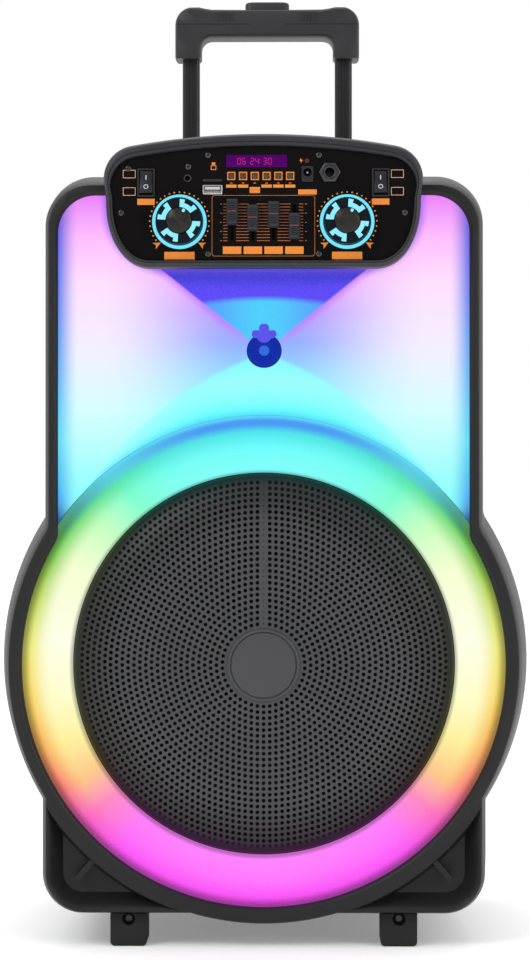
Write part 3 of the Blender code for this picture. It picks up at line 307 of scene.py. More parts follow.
# --- Node tools ---
class Signal:
    """A node's output, with arithmetic that adds Math nodes."""

    def __init__(self, nodes, socket):
        self.nodes = nodes
        self.socket = socket

    def math(self, operation, other=0.0, swap=False):
        first, second = (other, self) if swap else (self, other)
        return self.nodes.add("ShaderNodeMath", {"operation": operation}, {0: first, 1: second})

    def __rsub__(self, other):
        return self.math("SUBTRACT", other, swap=True)

    def __abs__(self):
        return self.math("ABSOLUTE")

    def root(self):
        return self.math("SQRT")

    def floor(self):
        return self.math("FLOOR")


def arithmetic(operation):
    def method(self, other):
        return self.math(operation, other)

    return method


for method_name, operation_name in (
        ("__add__", "ADD"), ("__radd__", "ADD"), ("__mul__", "MULTIPLY"), ("__rmul__", "MULTIPLY"),
        ("__sub__", "SUBTRACT"), ("__truediv__", "DIVIDE"), ("__pow__", "POWER"),
        ("lesser", "MINIMUM"), ("greater", "MAXIMUM")):
    setattr(Signal, method_name, arithmetic(operation_name))


class Nodes:
    """A node tree with one method that adds any node."""

    def __init__(self, tree):
        self.tree = tree

    def feed(self, socket, value):
        if isinstance(value, Signal):
            self.tree.links.new(value.socket, socket)
        elif isinstance(value, tuple) and len(value) == 3 and socket.type == "RGBA":
            socket.default_value = (*value, 1.0)
        else:
            socket.default_value = value

    def add(self, kind, settings=None, inputs=None, output=0):
        node = self.tree.nodes.new(kind)
        for name, value in (settings or {}).items():
            if name == "stops":
                self.set_stops(node.color_ramp, value)
            else:
                setattr(node, name, value)
        for key, value in (inputs or {}).items():
            self.feed(node.inputs[key], value)
        return Signal(self, node.outputs[output])

    @staticmethod
    def set_stops(ramp, stops):
        while len(ramp.elements) < len(stops):
            ramp.elements.new(1.0)
        for element, (position, colour) in zip(ramp.elements, stops):
            element.position = position
            element.color = (*colour, 1.0)

    def length(self, a, b):
        return (a * a + b * b).root()


def ink(red, green, blue):
    """A colour given as screen values from 0 to 255, as the shader wants it."""
    shares = [c / 255 for c in (red, green, blue)]
    return tuple(c / 12.92 if c <= 10 / 255 else ((c + 0.055) / 1.055) ** 2.4 for c in shares)


def shades(*rows):
    """Colour stops from rows of a position and three screen values."""
    return [(position, ink(*colour)) for position, *colour in rows]


class Finish(Nodes):
    """A material: one Principled shader and what feeds it."""

    def __init__(self, name, **constants):
        self.material = bpy.data.materials.new(name)
        self.material.use_nodes = True
        super().__init__(self.material.node_tree)
        self.shader = self.tree.nodes["Principled BSDF"]
        self.set(**constants)

    def set(self, **values):
        for name, value in values.items():
            self.feed(self.shader.inputs[name.replace("_", " ")], value)
        return self

    def place(self):
        return self.add("ShaderNodeTexCoord", output=3)

    def axes(self):
        """Across, depth and height in millimetres."""
        at = self.place()
        x, y, z = (self.add("ShaderNodeSeparateXYZ", inputs={0: at}, output=i) for i in range(3))
        return x / MM, y / MM - FRONT, z / MM

    def from_knob(self):
        """Distance from the axis of the nearer knob in millimetres."""
        x, _, z = self.axes()
        knob = Span("knob_right")
        return self.length(abs(x) - knob.x, z - knob.z)

    def noise(self, size, detail=3.0, stretch=None):
        """Cloudy noise from 0 to 1 with features of about a size in millimetres."""
        at = self.place()
        if stretch:
            at = self.add("ShaderNodeMapping", inputs={0: at, 3: stretch})
        return self.add("ShaderNodeTexNoise", inputs={0: at, 2: 1.0 / (size * MM), 3: detail})

    def cells(self, size):
        return self.add("ShaderNodeTexVoronoi", inputs={0: self.place(), 2: 1.0 / (size * MM)})

    def step(self, value, low, high):
        settings = {"interpolation_type": "SMOOTHSTEP"}
        return self.add("ShaderNodeMapRange", settings, {0: value, 1: low, 2: high})

    def mix(self, share, first, second):
        return self.add("ShaderNodeMix", {"data_type": "RGBA"}, {0: share, 6: first, 7: second}, output=2)

    def ramp(self, value, stops):
        return self.add("ShaderNodeValToRGB", {"stops": stops}, {0: value})

    def bump(self, height, distance, strength=1.0):
        inputs = {"Strength": strength, "Distance": distance * MM, "Height": height}
        return self.set(Normal=self.add("ShaderNodeBump", inputs=inputs))


# --- Finishes ---
def moulded(name, dark, light, rough=0.42, grain=0.45, depth=0.02, specular=0.4):
    """Moulded plastic: fine spark grain, a slow drift of colour and a few paler scuffs."""
    finish = Finish(name)
    drift = finish.noise(60.0, 4.0)
    scuff = finish.step(finish.noise(7.0, 5.0, (1.0, 1.0, 3.0)), 0.62, 0.85)
    colour = finish.mix(drift, dark, light)
    finish.set(Base_Color=finish.mix(scuff * 0.25, colour, tuple(c * 1.8 for c in light)))
    finish.set(Roughness=drift * 0.1 + scuff * 0.08 + (rough - 0.05), Specular_IOR_Level=specular)
    height = finish.cells(grain) + finish.noise(grain * 3, 2.0) * 0.6
    return finish.bump(height, depth)


def metal(name, colour, rough, brush=None, specular=0.5):
    """Bare or plated metal with a drifting sheen and fine drawing marks."""
    finish = Finish(name, Metallic=1.0)
    drift = finish.noise(20.0, 4.0)
    marks = finish.noise(0.8, 3.0, brush or (1.0, 1.0, 12.0))
    finish.set(Base_Color=finish.mix(drift, colour, tuple(c * 0.82 for c in colour)))
    finish.set(Roughness=marks * 0.12 + drift * 0.06 + (rough - 0.09), Specular_IOR_Level=specular)
    return finish.bump(marks, 0.012)


def gloss_black():
    """Polished panel with a faint haze of dust."""
    finish = Finish("panel_gloss", Specular_IOR_Level=0.04)
    dust = finish.step(finish.noise(1.1, 4.0), 0.62, 0.8)
    finish.set(Base_Color=finish.mix(dust * 0.3, (0.0052, 0.0045, 0.0048), (0.018, 0.017, 0.018)))
    finish.set(Roughness=finish.noise(35.0, 3.0) * 0.1 + dust * 0.12 + 0.2)
    return finish.bump(finish.noise(9.0, 2.0), 0.01)


def printed(name, colour):
    """Screen ink with a slightly uneven lay."""
    finish = Finish(name, Specular_IOR_Level=0.3)
    lay = finish.noise(0.7, 3.0)
    finish.set(Base_Color=finish.mix(lay, colour, tuple(c * 0.8 for c in colour)))
    finish.set(Roughness=lay * 0.2 + 0.4)
    return finish.bump(lay, 0.008)


def glowing(name, colour, edge, strength=1.0):
    """Glowing plastic, a little uneven. Lamps use it; on the tweeter parts its glow is painted reflection and
    shade.
    """
    finish = Finish(name, Roughness=0.25, Specular_IOR_Level=0.06, Emission_Strength=strength)
    cloud = finish.noise(3.0, 2.0)
    shade = finish.mix(cloud, colour, edge)
    finish.set(Base_Color=finish.mix(0.99, shade, (0.0, 0.0, 0.0)), Emission_Color=shade)
    return finish.bump(cloud, 0.01)


def perforated_paint():
    """Powder coat over perforated steel: fine orange peel, with painted shade towards the rolled rim."""
    finish = Finish("grille_powder_coat", Specular_IOR_Level=0.42)
    x, _, z = finish.axes()
    radius = finish.length(x, z - RING_Z)
    # Painted shade: the colour darkens towards the rolled rim, where the dome's edge falls back.
    rim = finish.step(radius, GRILLE_R - 44.0, GRILLE_R - 6.0)
    drift = finish.noise(45.0, 3.0)
    face = finish.mix(drift, (0.034, 0.034, 0.036), (0.048, 0.048, 0.051))
    finish.set(Base_Color=finish.mix(rim, face, (0.009, 0.009, 0.01)))
    finish.set(Roughness=finish.noise(2.0, 3.0) * 0.12 + 0.4)
    return finish.bump(finish.cells(0.35), 0.012)


def fold_depths(across, z, radius):
    """Depths of the horn's side, roof and skirt at a place, as numbers or as shader signals."""
    side = (OPENING_HALF - across) * SIDE_SLOPE + SIDE_START
    roof = (OPENING_TOP - z) * ROOF_SLOPE + ROOF_START
    return side, roof, (radius - SKIRT_EDGE) * SKIRT_SLOPE + SKIRT_START


def horn_glow():
    """The lit horn: lilac beside the console, white then cyan lower down, and blue along its edges.

    Its folds are those of the horn itself: two sides, a roof under the console and a skirt over the ring.
    """
    # Painted shade: the console's shadow under it, a rim round its lower corners, a line along the roof's
    # creases, the lower outer corners and a groove above the ring.
    finish = Finish("horn_glow", Roughness=0.38, Specular_IOR_Level=0.02, Emission_Strength=1.0)
    x, _, z = finish.axes()
    across = abs(x)
    radius = finish.length(x, z - RING_Z)
    low, high = RING_Z + 105.0, OPENING_TOP
    up = (z - low) / (high - low)

    def at(height):
        return (height - low) / (high - low)

    edge_stops = shades(
        (0.0, 30, 60, 170), (at(340), 52, 160, 240), (at(380), 70, 212, 243), (at(430), 56, 170, 244),
        (at(490), 58, 116, 236), (at(530), 52, 90, 228), (1.0, 40, 70, 190))
    tint_stops = shades(
        (0.0, 60, 225, 250), (at(360), 90, 250, 253), (at(405), 120, 250, 254), (at(430), 140, 220, 254),
        (at(455), 146, 172, 254), (at(478), 178, 148, 254), (at(510), 232, 140, 250), (1.0, 222, 110, 250))
    pale_stops = shades(
        (0.0, 110, 250, 253), (at(360), 160, 254, 252), (at(405), 214, 253, 254), (at(450), 243, 238, 254),
        (at(500), 254, 222, 254), (at(535), 254, 186, 254), (1.0, 232, 126, 250))
    outward = finish.step(across, 15.0, 128.0)
    side = finish.mix(outward, finish.ramp(up, tint_stops), finish.ramp(up, pale_stops))

    spread = (radius - OPENING_RING) / 46.0
    # The bluer first stops, next to the ring, are a painted shadow groove above the ring.
    near_stops = shades(
        (0.0, 76, 180, 250), (0.14, 78, 219, 251), (0.23, 97, 250, 253), (0.33, 119, 254, 253),
        (0.53, 143, 254, 254), (0.72, 152, 253, 251), (1.0, 134, 250, 252))
    far_stops = shades(
        (0.0, 100, 220, 253), (0.14, 112, 238, 251), (0.22, 150, 252, 251), (0.33, 168, 252, 253),
        (1.0, 190, 254, 253))
    outward = finish.step(across, 45.0, 130.0)
    skirt = finish.mix(outward, finish.ramp(spread, near_stops), finish.ramp(spread, far_stops))

    fan = finish.mix(finish.step(across, 0.0, 46.0), ink(66, 206, 252), ink(80, 160, 250))
    # Painted shadow of the console: the violet band under it, darkest right beneath it; sag curves its lower
    # edge.
    sag = z + across * across * 0.0016
    violet = finish.mix(finish.step(z, 494.0, 510.0), ink(84, 62, 246), ink(44, 44, 198))
    roof = finish.mix(finish.step(sag, 486.0, 492.0), fan, violet)

    side_depth, roof_depth, skirt_depth = fold_depths(across, z, radius)
    colour = finish.mix(finish.step(side_depth - skirt_depth, -0.7, 2.2), side, skirt)
    under_console = 1 - finish.step(across, 84.0, 96.0)
    # Painted shade: a pink-violet line along the crease where a side meets the roof, under the console.
    crease = (1 - finish.step(abs(side_depth - roof_depth), 0.0, 2.4)) * under_console
    colour = finish.mix(crease * finish.step(z, 452.0, 470.0) * 0.55, colour, ink(196, 96, 250))
    colour = finish.mix(finish.step(side_depth - roof_depth, -0.3, 0.5) * under_console, colour, roof)

    # Painted shade: a violet-blue rim round the console's lower corners.
    corner_x = (across - 75.0).greater(0.0)
    corner_z = ((CONSOLE_SIDE_Z - z) - 6.0).greater(0.0)
    from_console = finish.length(corner_x, corner_z) - 44.0
    console_corner_shade = 1 - finish.step(from_console, -3.0, 6.0)
    colour = finish.mix(console_corner_shade * 0.7, colour, ink(110, 70, 240))
    colour = finish.mix(finish.step(across, 139.0, 158.0), colour, finish.ramp(up, edge_stops))
    # Painted shade: the horn's lower outer corners darken to deep navy.
    low_corner = 1 - finish.step(z - across * 0.08, 298.0, 322.0)
    colour = finish.mix(low_corner * finish.step(across, 128.0, 152.0), colour, ink(12, 32, 130))
    return lit(finish, colour)


def ring_glow():
    """The lit ring: cyan at the top, through green and yellow at the sides, to magenta at the bottom."""
    # Painted shade darkens its outer rim and its edge by the grille, and a faint painted highlight lies on
    # its inner crown.
    finish = Finish("ring_glow", Roughness=0.36, Specular_IOR_Level=0.02, Emission_Strength=1.0)
    x, _, z = finish.axes()
    turn = abs(x.math("ARCTAN2", z - RING_Z)) / math.pi
    radius = finish.length(x, z - RING_Z)

    def at(degrees):
        return degrees / 180

    body = shades(
        (0.0, 104, 253, 253), (at(26), 108, 253, 240), (at(38), 116, 253, 205), (at(50), 196, 254, 190),
        (at(63), 244, 254, 206), (at(84), 254, 254, 230), (at(100), 253, 252, 196), (at(111), 252, 240, 150),
        (at(122), 252, 196, 124), (at(131), 253, 124, 188), (at(142), 254, 104, 250), (1.0, 254, 112, 254))
    outer = shades(
        (0.0, 58, 224, 236), (at(26), 66, 222, 214), (at(40), 74, 222, 160), (at(52), 92, 214, 104),
        (at(64), 132, 205, 70), (at(74), 192, 216, 76), (at(86), 238, 236, 110), (at(98), 248, 214, 86),
        (at(110), 248, 176, 84), (at(121), 248, 122, 112), (at(132), 248, 84, 196), (at(144), 250, 74, 244),
        (1.0, 250, 66, 246))
    # Painted highlight: a faint whitening on the inner crown beside the grille.
    inner_crown_highlight = 1 - finish.step(radius, GRILLE_R + 3.0, GRILLE_R + 24.0)
    colour = finish.mix(inner_crown_highlight * 0.06, finish.ramp(turn, body), ink(255, 255, 245))
    # Towards the outer edge the colours grow deeper and darker: partly the lamp's own colour, partly painted
    # shade where the ring curves back.
    colour = finish.mix(finish.step(radius, 160.0, 180.0), colour, finish.ramp(turn, outer))
    # Painted shade on the outer rim where it tucks under the frame's lip: darkened outer colours at the sides
    # and bottom, and a blue shadow at the top that turns paler past the lip.
    rim = finish.step(radius, OPENING_RING - 7.0, OPENING_RING + 0.5)
    top_rim = 1 - finish.step(turn, at(36), at(60))
    upper_rim_shade = finish.mix(finish.step(turn, at(12), at(42)), ink(62, 138, 244), ink(84, 204, 228))
    past_lip = finish.step(radius, OPENING_RING + 2.0, SKIRT_EDGE)
    upper_rim_shade = finish.mix(past_lip, upper_rim_shade, ink(84, 216, 250))
    rim_shade_colour = finish.mix(top_rim, finish.mix(0.72, finish.ramp(turn, outer), (0.0, 0.0, 0.0)), upper_rim_shade)
    colour = finish.mix(rim * 0.9, colour, rim_shade_colour)
    # Painted shade: the ring's inner edge darkens next to the grille.
    grille_edge_shade = 1 - finish.step(radius, GRILLE_R + 0.5, GRILLE_R + 3.5)
    colour = finish.mix(grille_edge_shade * 0.5, colour, (0.0, 0.02, 0.02))
    return lit(finish, colour)


def lit(finish, colour):
    """Diffusing plastic lit from behind: the colour is its light, painted shade and highlight included, with
    a faint frosting.
    """
    frost = finish.noise(1.6, 2.0)
    finish.set(Emission_Color=finish.mix(frost * 0.05, colour, (1.0, 1.0, 1.0)))
    finish.set(Base_Color=finish.mix(0.992, colour, (0.0, 0.0, 0.0)))
    return finish.bump(frost, 0.01)


def spun_metal():
    """A knob cap turned on a lathe: fine rings about each knob's own axis."""
    finish = Finish("spun_cap", Metallic=1.0)
    radius = finish.from_knob()
    rings = (radius * 9.0).math("SINE")
    finish.set(Base_Color=finish.mix(rings * 0.25 + 0.5, (0.022, 0.021, 0.021), (0.06, 0.058, 0.056)))
    finish.set(Roughness=rings * 0.06 + 0.3)
    return finish.bump(rings, 0.03)


def knob_face():
    """Dark knob face with turned grooves between its lit windows."""
    finish = Finish("knob_face", Specular_IOR_Level=0.08)
    radius = finish.from_knob()
    grooves = (radius * 5.2).math("SINE")
    deep = finish.step(radius, 9.0, 17.0)
    finish.set(Base_Color=finish.mix(deep, (0.004, 0.005, 0.008), (0.003, 0.008, 0.014)))
    finish.set(Roughness=grooves * 0.08 + 0.35)
    return finish.bump(grooves, 0.05)


def board_green():
    """Solder-resist green with a faint weave."""
    finish = Finish("circuit_green", Roughness=0.4)
    weave = finish.cells(1.4)
    finish.set(Base_Color=finish.mix(weave, (0.01, 0.11, 0.04), (0.02, 0.2, 0.08)))
    return finish.bump(weave, 0.02)


black = moulded("shell_plastic", (0.009, 0.009, 0.0095), (0.014, 0.014, 0.015), specular=0.24)
grey = moulded("grey_plastic", (0.02, 0.02, 0.022), (0.03, 0.03, 0.033), rough=0.4, specular=0.3)
control_plastic = moulded(
    "control_plastic", (0.012, 0.012, 0.014), (0.02, 0.02, 0.023), rough=0.35, grain=0.25, specular=0.25)
tube_paint = moulded(
    "tube_paint", (0.012, 0.012, 0.013), (0.02, 0.02, 0.022), 0.28, grain=0.3, depth=0.008, specular=0.3)
rubber = moulded("tyre_rubber", (0.012,) * 3, (0.022,) * 3, rough=0.75, specular=0.2)
paper = moulded("cone_paper", (0.01,) * 3, (0.018,) * 3, rough=0.85, grain=1.2, specular=0.2)
ferrite = moulded("ferrite", (0.012, 0.012, 0.013), (0.022, 0.022, 0.023), rough=0.7)
fibreboard = moulded("fibreboard", (0.16, 0.1, 0.055), (0.26, 0.17, 0.1), rough=0.8, grain=1.5)
battery_case = moulded("battery_case", (0.04, 0.04, 0.05), (0.07, 0.07, 0.085), rough=0.45)
steel = metal("zinc_steel", (0.56, 0.56, 0.58), 0.34)
dark_steel = metal("black_steel", (0.07, 0.07, 0.075), 0.38)
plate_steel = metal("plate_screw_steel", (0.075,) * 3, 0.3)
alloy = metal("cast_alloy", (0.6, 0.6, 0.62), 0.42)
gloss = gloss_black()
orange_ink = printed("orange_ink", ink(226, 132, 46))
line_ink = printed("scale_ink", ink(178, 104, 58))
pale_ink = printed("pale_ink", ink(196, 198, 202))
tan_ink = printed("tan_ink", ink(214, 166, 128))
knob_light = glowing("knob_light", ink(164, 246, 255), ink(128, 232, 254))
ring_lamp = glowing("ring_lamp", ink(136, 238, 255), ink(104, 222, 252))
window_violet = glowing("display_violet", ink(88, 0, 108), ink(72, 0, 92))
digit_pink = glowing("display_digit", ink(206, 44, 150), ink(186, 34, 132))
# Painted reflection: the black tweeter disc and its nub glow with the horn's reflected blue light.
lens_navy = glowing("lens_navy", ink(12, 36, 158), ink(18, 50, 172))
nub_blue = glowing("nub_blue", ink(52, 120, 232), ink(36, 90, 210))
# Painted shade and reflection: the boss's violet glow stands for the shadow and reflection of the tweeter's
# holder.
lobe_violet = glowing("lobe_violet", ink(98, 92, 238), ink(84, 74, 228))
grille_paint = perforated_paint()
horn_light = horn_glow()
ring_light = ring_glow()
cap_metal = spun_metal()
knob_dark = knob_face()
circuit = board_green()
dark_board = moulded(
    "dark_board", (0.004, 0.005, 0.004), (0.007, 0.009, 0.008), rough=0.5, grain=1.4, specular=0.1)
grip_plastic = moulded("grip_plastic", (0.022, 0.022, 0.024), (0.03, 0.03, 0.032), rough=0.45, specular=0.3)
fader_grey = moulded(
    "fader_plastic", (0.02, 0.024, 0.029), (0.032, 0.037, 0.043), rough=0.4, grain=0.2, specular=0.2)
fader_red = printed("fader_line", ink(136, 58, 62))
button_brown = moulded("button_plastic", (0.035, 0.026, 0.018), (0.06, 0.045, 0.03), rough=0.35, grain=0.2)
pale_plastic = moulded("pale_plastic", (0.42, 0.42, 0.4), (0.55, 0.55, 0.52), rough=0.5, grain=0.2)
usb_steel = metal("usb_steel", (0.78, 0.77, 0.73), 0.3)
lamp_clear = glowing("lamp_clear", ink(150, 96, 46), ink(120, 72, 30), 0.4)


# --- Geometry Nodes: what repeats ---
def repeat_tree(name, sizes):
    """A tree with a mesh input, named sizes, and a material at its end."""
    tree = bpy.data.node_groups.new(name, "GeometryNodeTree")
    tree.interface.new_socket("Geometry", in_out="INPUT", socket_type="NodeSocketGeometry")
    for label, kind in sizes.items():
        tree.interface.new_socket(label, in_out="INPUT", socket_type=f"NodeSocket{kind}")
    tree.interface.new_socket("Finish", in_out="INPUT", socket_type="NodeSocketMaterial")
    tree.interface.new_socket("Geometry", in_out="OUTPUT", socket_type="NodeSocketGeometry")
    nodes = Nodes(tree)
    given = tree.nodes.new("NodeGroupInput")
    taken = {socket.name: Signal(nodes, socket) for socket in given.outputs if socket.name}
    return nodes, taken


def end_tree(nodes, taken, geometry):
    """Realize Instances and Set Material, then the output."""
    plain = nodes.add("GeometryNodeRealizeInstances", inputs={0: geometry})
    coloured = nodes.add("GeometryNodeSetMaterial", inputs={"Geometry": plain, "Material": taken["Finish"]})
    output = nodes.tree.nodes.new("NodeGroupOutput")
    nodes.feed(output.inputs[0], coloured)
    return nodes.tree


def grown(tree, bm, finish=None, **values):
    """The tree run on a mesh with its named inputs set, as a plain mesh."""
    obj = loose(bm)
    change = obj.modifiers.new("repeat", "NODES")
    change.node_group = tree
    for item in tree.interface.items_tree:
        if item.in_out == "INPUT" and item.name.replace(" ", "_") in values:
            change[item.identifier] = values[item.name.replace(" ", "_")]
        elif item.in_out == "INPUT" and item.name == "Finish":
            change[item.identifier] = (finish or black).material
    return settled(obj)


def row_tree():
    """Copies of the mesh in an even row, the first one where it was made."""
    nodes, taken = repeat_tree("even_row", {"Count": "Int", "Step": "Vector"})
    line = nodes.add("GeometryNodeMeshLine", inputs={"Count": taken["Count"], "Offset": taken["Step"]})
    copies = nodes.add("GeometryNodeInstanceOnPoints", inputs={"Points": line, "Instance": taken["Geometry"]})
    return end_tree(nodes, taken, copies)


def spun_copies(nodes, taken, turn):
    """Count copies of the mesh at Centre, each turned by its own angles."""
    points = nodes.add("GeometryNodePoints", inputs={"Count": taken["Count"], "Position": taken["Centre"]})
    angles = nodes.add("ShaderNodeCombineXYZ", inputs=turn)
    spin = nodes.add("FunctionNodeEulerToRotation", inputs={0: angles})
    about = {"Points": points, "Instance": taken["Geometry"], "Rotation": spin}
    return nodes.add("GeometryNodeInstanceOnPoints", inputs=about)


def round_tree():
    """Copies of the mesh turned about a front-to-back line through Centre, over a sweep."""
    sizes = {"Count": "Int", "Centre": "Vector", "Start": "Float", "Sweep": "Float"}
    nodes, taken = repeat_tree("round_row", sizes)
    turn = taken["Start"] + nodes.add("GeometryNodeInputIndex") * taken["Sweep"] / (taken["Count"] - 1)
    return end_tree(nodes, taken, spun_copies(nodes, taken, {1: turn}))


def places_tree():
    """A copy of an item at every vertex of the mesh."""
    nodes, taken = repeat_tree("at_places", {"Item": "Object"})
    item = nodes.add("GeometryNodeObjectInfo", inputs={"Object": taken["Item"]}, output=4)
    copies = nodes.add("GeometryNodeInstanceOnPoints", inputs={"Points": taken["Geometry"], "Instance": item})
    return end_tree(nodes, taken, copies)


def lattice_tree():
    """Perforated dome: ring k of the lattice holds 6k holes, and its first column is a plain seam.

    A cell is a square of side 1 in X and Z with its thickness in Y; it is bent to its place on the dome.
    """
    sizes = {"First Ring": "Int", "Last Ring": "Int", "Pitch": "Float", "Dome Radius": "Float"}
    sizes |= {"Crest": "Float", "Drop": "Float", "Centre": "Vector", "Seam": "Object"}
    nodes, taken = repeat_tree("perforated_dome", sizes)
    first, last = taken["First Ring"], taken["Last Ring"]
    skipped = first * (first - 1) * 3
    count = last * (last + 1) * 3 - skipped
    points = nodes.add("GeometryNodePoints", inputs={"Count": count})
    order = nodes.add("GeometryNodeInputIndex") + skipped
    ring = ((order / 3 + 0.25).root() + 0.5001).floor()
    turn = order - ring * (ring - 1) * 3
    for label, value in (("ring", ring), ("turn", turn)):
        store = {"data_type": "FLOAT", "domain": "POINT"}
        named = {0: points, "Name": label, "Value": value}
        points = nodes.add("GeometryNodeStoreNamedAttribute", store, named)
    number = {"data_type": "FLOAT"}
    kept_turn = nodes.add("GeometryNodeInputNamedAttribute", number, {"Name": "turn"})
    kept_ring = nodes.add("GeometryNodeInputNamedAttribute", number, {"Name": "ring"})
    seam_item = nodes.add("GeometryNodeObjectInfo", inputs={"Object": taken["Seam"]}, output=4)
    less = {"data_type": "FLOAT", "operation": "LESS_THAN"}
    on_seam = nodes.add("FunctionNodeCompare", less, {0: kept_turn, 1: 0.5})
    off_seam = nodes.add("FunctionNodeBooleanMath", {"operation": "NOT"}, {0: on_seam})
    both = nodes.tree.nodes.new("GeometryNodeJoinGeometry")
    for chosen, item in ((off_seam, taken["Geometry"]), (on_seam, seam_item)):
        inputs = {"Points": points, "Selection": chosen, "Instance": item}
        nodes.feed(both.inputs[0], nodes.add("GeometryNodeInstanceOnPoints", inputs=inputs))
    plain = nodes.add("GeometryNodeRealizeInstances", inputs={0: Signal(nodes, both.outputs[0])})
    local = nodes.add("GeometryNodeInputPosition")
    u, w, v = (nodes.add("ShaderNodeSeparateXYZ", inputs={0: local}, output=i) for i in range(3))
    angle = (kept_turn + u) / kept_ring * (math.tau / 6)
    radius = (kept_ring + v) * taken["Pitch"]
    share = (radius / taken["Dome Radius"]).lesser(0.9999)
    depth = taken["Crest"] + taken["Drop"] * (1 - (1 - share**6).root()) + w
    bent = {0: radius * angle.math("SINE"), 1: depth, 2: radius * angle.math("COSINE")}
    spot = nodes.add("ShaderNodeCombineXYZ", inputs=bent)
    spot = nodes.add("ShaderNodeVectorMath", {"operation": "ADD"}, {0: spot, 1: taken["Centre"]})
    bent_sheet = nodes.add("GeometryNodeSetPosition", inputs={"Geometry": plain, "Position": spot})
    welded = nodes.add("GeometryNodeMergeByDistance", inputs={"Geometry": bent_sheet, "Distance": 2e-6})
    return end_tree(nodes, taken, welded)


def axle_tree():
    """Copies of the mesh turned evenly about a left-to-right line through Centre."""
    nodes, taken = repeat_tree("axle_row", {"Count": "Int", "Centre": "Vector", "Lead": "Float"})
    turn = taken["Lead"] + nodes.add("GeometryNodeInputIndex") * math.tau / taken["Count"]
    return end_tree(nodes, taken, spun_copies(nodes, taken, {0: turn}))


EVEN_ROW, ROUND_ROW, AXLE_ROW = row_tree(), round_tree(), axle_tree()
AT_PLACES, LATTICE = places_tree(), lattice_tree()


def in_row(bm, count, step):
    """count copies of a mesh, each moved by step (across, depth, height)."""
    return grown(EVEN_ROW, bm, Count=count, Step=(step[0] * MM, step[1] * MM, step[2] * MM))


def in_round(bm, count, x, z, start, sweep):
    """count copies of a mesh made round (0, 0), turned clockwise over sweep degrees about (x, z)."""
    centre = Vector((x, 0, z)) * MM
    values = {"Count": count, "Centre": centre[:], "Start": math.radians(start), "Sweep": math.radians(sweep)}
    return grown(ROUND_ROW, bm, **values)


def in_wheel(bm, count, depth, z, lead):
    """count copies of a mesh, made above the origin, round a line that runs left to right."""
    return grown(AXLE_ROW, bm, Count=count, Centre=place(0, depth, z)[:], Lead=math.radians(lead))


def at_places(item_bm, spots):
    """A copy of a mesh, made about the origin, at each spot (x, depth, z)."""
    item = loose(item_bm, "item")
    marks = bmesh.new()
    for spot in spots:
        marks.verts.new(place(*spot))
    made = grown(AT_PLACES, marks, Item=item)
    bpy.data.objects.remove(item)
    return made


# --- Outlines of the body ---
def waist(edge, radius, fillet, side, steps):
    rise = math.sqrt((radius + fillet) ** 2 - (edge + fillet) ** 2)
    lean = math.degrees(math.atan2(rise, edge + fillet))
    return lean, arc(edge + fillet, RING_Z + side * rise, fillet, 180 + side * lean, 180, steps)


def body_outline(side_in, ring_in, top_in=None, base_in=0.0):
    """The outside of the body, drawn in by the given amounts."""
    top_in = side_in if top_in is None else top_in
    half, top = HALF_WIDTH - side_in, TOP_Z - top_in
    ring, block_half = RING_R - ring_in, BLOCK_HALF - side_in
    base, dip = BASE_Z + base_in, DIP_R - base_in
    corner, low_corner = TOP_CORNER - side_in * 0.6, LOW_CORNER - side_in * 0.6
    dip_angle = math.degrees(math.asin((RING_Z - base) / dip))
    low_lean, low_fillet = waist(block_half, ring, 3.0, -1, 4)
    high_lean, high_fillet = waist(half, ring, WAIST_FILLET, 1, 8)
    right = arc(0, RING_Z, dip, -90, -dip_angle, 12)
    right += arc(block_half - low_corner, base + low_corner, low_corner, -90, 0, 14)
    right += list(reversed(low_fillet))
    right += arc(0, RING_Z, ring, -low_lean, high_lean, 44)[1:-1]
    right += high_fillet
    right += arc(half - corner, top - corner, corner, 0, 90, 16)
    return mirrored(right)


def opening_outline(grow=0.0):
    half, top = OPENING_HALF + grow, OPENING_TOP + grow
    ring, corner = OPENING_RING + grow, OPENING_CORNER + grow
    lean, fillet = waist(half, ring, WAIST_FILLET, 1, 8)
    right = arc(0, RING_Z, ring, -90, lean, 60)[:-1] + fillet
    right += arc(half - corner, top - corner, corner, 0, 90, 14)
    return mirrored(right)


def console_outline(inset=0.0, crown_inset=None):
    """Flat bottom, swept lower corners, arched top."""
    crown_inset = inset if crown_inset is None else crown_inset
    top, bottom = console.z1 - crown_inset, console.z0 + inset
    half, corner = console.x1 - inset, CONSOLE_CORNER - inset * 0.6
    wide, high = half - CONSOLE_TAPER - CONSOLE_FLAT, CONSOLE_SIDE_Z - bottom
    right = []
    for i in range(25):
        turn = math.pi / 2 * i / 24
        x, drop = wide * math.sin(turn) ** 0.9, high * math.cos(turn) ** 0.9
        right.append((CONSOLE_FLAT + x, CONSOLE_SIDE_Z - drop))
    crown_z = top - CONSOLE_CROWN
    corner_z = crown_z + math.sqrt((CONSOLE_CROWN - corner) ** 2 - (half - corner) ** 2)
    meet = math.degrees(math.atan2(corner_z - crown_z, half - corner))
    right += arc(half - corner, corner_z, corner, 0, meet, 14)
    right += arc(0, crown_z, CONSOLE_CROWN, meet, 90, 16)[1:]
    return mirrored(right)


def corner_pocket(side, inset):
    """The three-sided recess between the ring and a lower corner."""
    half, base = BLOCK_HALF - SIDE_DRAFT - inset, BASE_Z + inset
    rim = OPENING_RING + 12.0 + inset * 0.35
    low_x = math.sqrt(rim**2 - (RING_Z - base) ** 2)
    high_z = RING_Z - math.sqrt(rim**2 - half**2)
    start = math.degrees(math.atan2(high_z - RING_Z, half))
    end = math.degrees(math.atan2(base - RING_Z, low_x))
    corner = LOW_CORNER - SIDE_DRAFT * 0.6 - inset
    outline = arc(0, RING_Z, rim, start, end, 14)
    outline += arc(half - corner, base + corner, corner, -90, 0, 10)
    return [(side * x, z) for x, z in outline]


